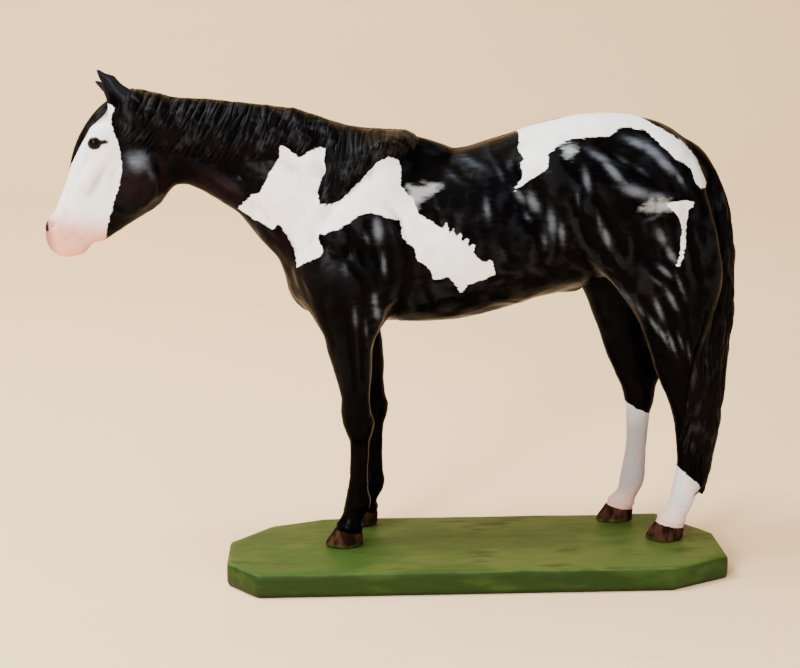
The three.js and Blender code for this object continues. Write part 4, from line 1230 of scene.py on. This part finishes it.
class STATUE_OT_eyes(bpy.types.Operator):
    """Set the two glossy eyes"""

    bl_idname = "statue.eyes"
    bl_label = "Eyes"

    def execute(self, context):
        sizes = settings()[0]
        tree = body_tree()
        deselect()
        eyes = []
        for side in (NEAR, FAR):
            place = tree.ray_cast(spot(EYE_X, side * 30, EYE_Z), Vector((0, -side, 0)))[0]
            centre = place - Vector((0, side * sizes.eye_radius * 0.34, 0))
            bpy.ops.mesh.primitive_uv_sphere_add(
                segments=32, ring_count=20, radius=sizes.eye_radius, location=centre,
            )
            eye = bpy.context.object
            eye.scale = (0.9, 0.7, 0.84)
            eye.rotation_euler = (0, 0.35, 0)
            eyes.append(eye)
        activate(eyes[0])
        eyes[1].select_set(True)
        bpy.ops.object.join()
        eyes[0].name = "horse_eyes"
        bpy.ops.object.transform_apply(location=True, rotation=True, scale=True)
        finish_piece(eyes[0], eye_paint(), "horse")
        return {"FINISHED"}


def base_paint():
    """Brushed greens, olive on the top, painted shade down the sides and darker still at the bottom edge."""
    paints = settings()[1]
    paint = Paint("Base paint")
    brush = paint.noise(0.007, paint.place((0.28, 1, 1), (0, 0, 0.12)), detail=4)
    cloud = paint.noise(0.035, paint.place((0.6, 1, 1)), detail=3)
    grain = paint.noise(0.0012, detail=2)
    height = paint.axes()[2]
    top = paint.between(height + (brush - 0.5) * 0.0012, BASE_TOP - 0.0012, BASE_TOP - 0.0002)
    green = paint.mix(paint.between(cloud + (brush - 0.5) * 0.7, 0.42, 0.62), paints.grass, paints.olive)
    green = paint.mix(paint.between(brush + (cloud - 0.5) * 0.3, 0.52, 0.72) * 0.75, green, paints.dark_green_and_side_shade)
    # Painted shade: the sides are darker than the top, with strokes of the main green, and darker still at
    # the bottom edge.
    side = paint.mix(paint.between(brush + (cloud - 0.5) * 0.8, 0.45, 0.7) * 0.7, paints.dark_green_and_side_shade, paints.grass)
    foot = paint.between(height * -1 + (brush - 0.5) * 0.002, -0.0028, -0.0006)
    side = paint.mix(foot * 0.8, side, darker(paints.dark_green_and_side_shade, 0.3))
    paint.bump(brush * 0.8 + grain * 0.25, 0.5, 0.0006)
    return paint.finish(paint.mix(top, side, green), 0.42 + 0.22 * brush, BASE_REFLECTION)


class STATUE_OT_base(bpy.types.Operator):
    """Cut and paint the base"""

    bl_idname = "statue.base"
    bl_label = "Base"

    def execute(self, context):
        piece = copy_of("base", "base_slab")
        apply_modifier(piece, "REMESH", mode="VOXEL", voxel_size=settings()[0].base_fineness)
        apply_modifier(piece, "SMOOTH", factor=0.5, iterations=3)
        clay = Clay(piece)
        clay.ground = clay.co[:, 2] < (0.0004 - BASE_TOP) / scale()
        worked_surface(clay, size=14, height=0.05, seed=2)
        worked_surface(clay, size=5, height=0.025, seed=9)
        clay.write()
        finish_piece(piece, base_paint(), "base", "base")
        return {"FINISHED"}


def add_to_scene(name, data):
    """Puts a new mesh, light or camera into the scene."""
    thing = bpy.data.objects.new(name, data)
    bpy.context.scene.collection.objects.link(thing)
    return thing


def add_light(name, kind, power_or_strength, tint, **shape):
    light = bpy.data.lights.new(name, kind)
    light.energy = power_or_strength
    light.color = tint
    for key, value in shape.items():
        setattr(light, key, value)
    return add_to_scene(name, light)


class STATUE_OT_stage(bpy.types.Operator):
    """Set up the floor, the lights and the camera"""

    bl_idname = "statue.stage"
    bl_label = "Stage"

    def execute(self, context):
        stage = settings()[2]
        scene = bpy.context.scene
        # A wall is drawn up from the floor's rear edge, and the corner between them is rounded.
        deselect()
        bpy.ops.mesh.primitive_plane_add(size=FLOOR_SIZE, location=(0, WALL_Y - FLOOR_SIZE / 2, 0))
        floor = bpy.context.object
        floor.name = "floor"
        bpy.ops.object.transform_apply(location=True, rotation=True, scale=True)
        for part in (*floor.data.edges, *floor.data.polygons):
            part.select = False
        for vertex in floor.data.vertices:
            vertex.select = vertex.co.y > 0
        bpy.ops.object.mode_set(mode="EDIT")
        bpy.ops.mesh.extrude_region_move(TRANSFORM_OT_translate={"value": (0, 0, WALL_HEIGHT)})
        bpy.ops.object.mode_set(mode="OBJECT")
        apply_modifier(floor, "BEVEL", width=0.6, segments=24, limit_method="ANGLE")
        bpy.ops.object.shade_smooth()
        paint = Paint("Stage paper")
        tone = paint.mix(paint.noise(0.3, detail=2), stage.floor, darker(stage.floor, 0.92))
        floor.data.materials.append(paint.finish(tone, 0.9, PAPER_REFLECTION))

        world = scene.world or bpy.data.worlds.new("Studio")
        scene.world = world
        world.use_nodes = True
        background = world.node_tree.nodes["Background"]
        background.inputs["Color"].default_value = (1.0, 0.93, 0.86, 1)
        background.inputs["Strength"].default_value = stage.ambient
        target = Vector((-0.032, settings()[0].middle, 0.101))
        backdrop = Vector((-0.2, WALL_Y, 0.4))
        # Each area light's name, place, aim, breadth, power and tint.
        for name, place, aim, size, watts, tint in (
            ("overhead light", (-0.5, -0.05, 0.95), target, 0.3, stage.top_power, (0.93, 0.96, 1)),
            ("main light", (-0.55, -1.0, 0.5), target, 0.28, stage.key_power, (1, 0.97, 0.94)),
            ("fill light", (0.9, -0.7, 0.5), target, 0.6, stage.fill_power, (0.9, 0.95, 1)),
            ("backdrop light", (-0.7, 0.7, 1.5), backdrop, 0.8, stage.back_power, (1, 0.93, 0.84)),
        ):
            lamp = add_light(name, "AREA", watts, tint, shape="SQUARE", size=size)
            lamp.location = place
            lamp.rotation_euler = (aim - lamp.location).to_track_quat("-Z", "Y").to_euler()
        lamp = add_light("even light", "SUN", stage.sky_strength, (1, 0.97, 0.93), angle=math.radians(80))
        lamp.rotation_euler = (math.radians(24), math.radians(-16), 0)

        turn, rise = math.radians(CAMERA_TURN), math.radians(CAMERA_RISE)
        back = Vector((math.sin(turn) * math.cos(rise), -math.cos(turn) * math.cos(rise), math.sin(rise)))
        camera = add_to_scene("camera", bpy.data.cameras.new("camera"))
        camera.data.lens = CAMERA_LENS
        camera.data.clip_start = 0.01
        camera.location = target + back * CAMERA_DISTANCE
        camera.rotation_euler = (-back).to_track_quat("-Z", "Y").to_euler()
        scene.camera = camera
        return {"FINISHED"}


STEPS = (
    STATUE_OT_stage, STATUE_OT_base, STATUE_OT_body, STATUE_OT_eyes, STATUE_OT_mane, STATUE_OT_forelock,
    STATUE_OT_tail,
)


class STATUE_PT_panel(bpy.types.Panel):
    bl_idname = "STATUE_PT_panel"
    bl_label = "Painted horse statue"
    bl_space_type = "VIEW_3D"
    bl_region_type = "UI"
    bl_category = "Statue"

    def draw(self, context):
        for group in settings():
            for name in group.__annotations__:
                self.layout.prop(group, name)
        for step in STEPS:
            self.layout.operator(step.bl_idname)


GROUPS = {
    "statue_sizes": STATUE_PG_sizes,
    "statue_paints": STATUE_PG_paints,
    "statue_stage": STATUE_PG_stage,
}


def register():
    for item in (*GROUPS.values(), *STEPS, STATUE_PT_panel):
        bpy.utils.register_class(item)
    for name, group in GROUPS.items():
        setattr(bpy.types.Scene, name, PointerProperty(type=group))


def unregister():
    for name in GROUPS:
        delattr(bpy.types.Scene, name)
    for item in (STATUE_PT_panel, *reversed(STEPS), *GROUPS.values()):
        bpy.utils.unregister_class(item)


def main():
    register()
    for step in STEPS:
        family, name = step.bl_idname.split(".")
        getattr(getattr(bpy.ops, family), name)()


if __name__ == "__main__":
    main()
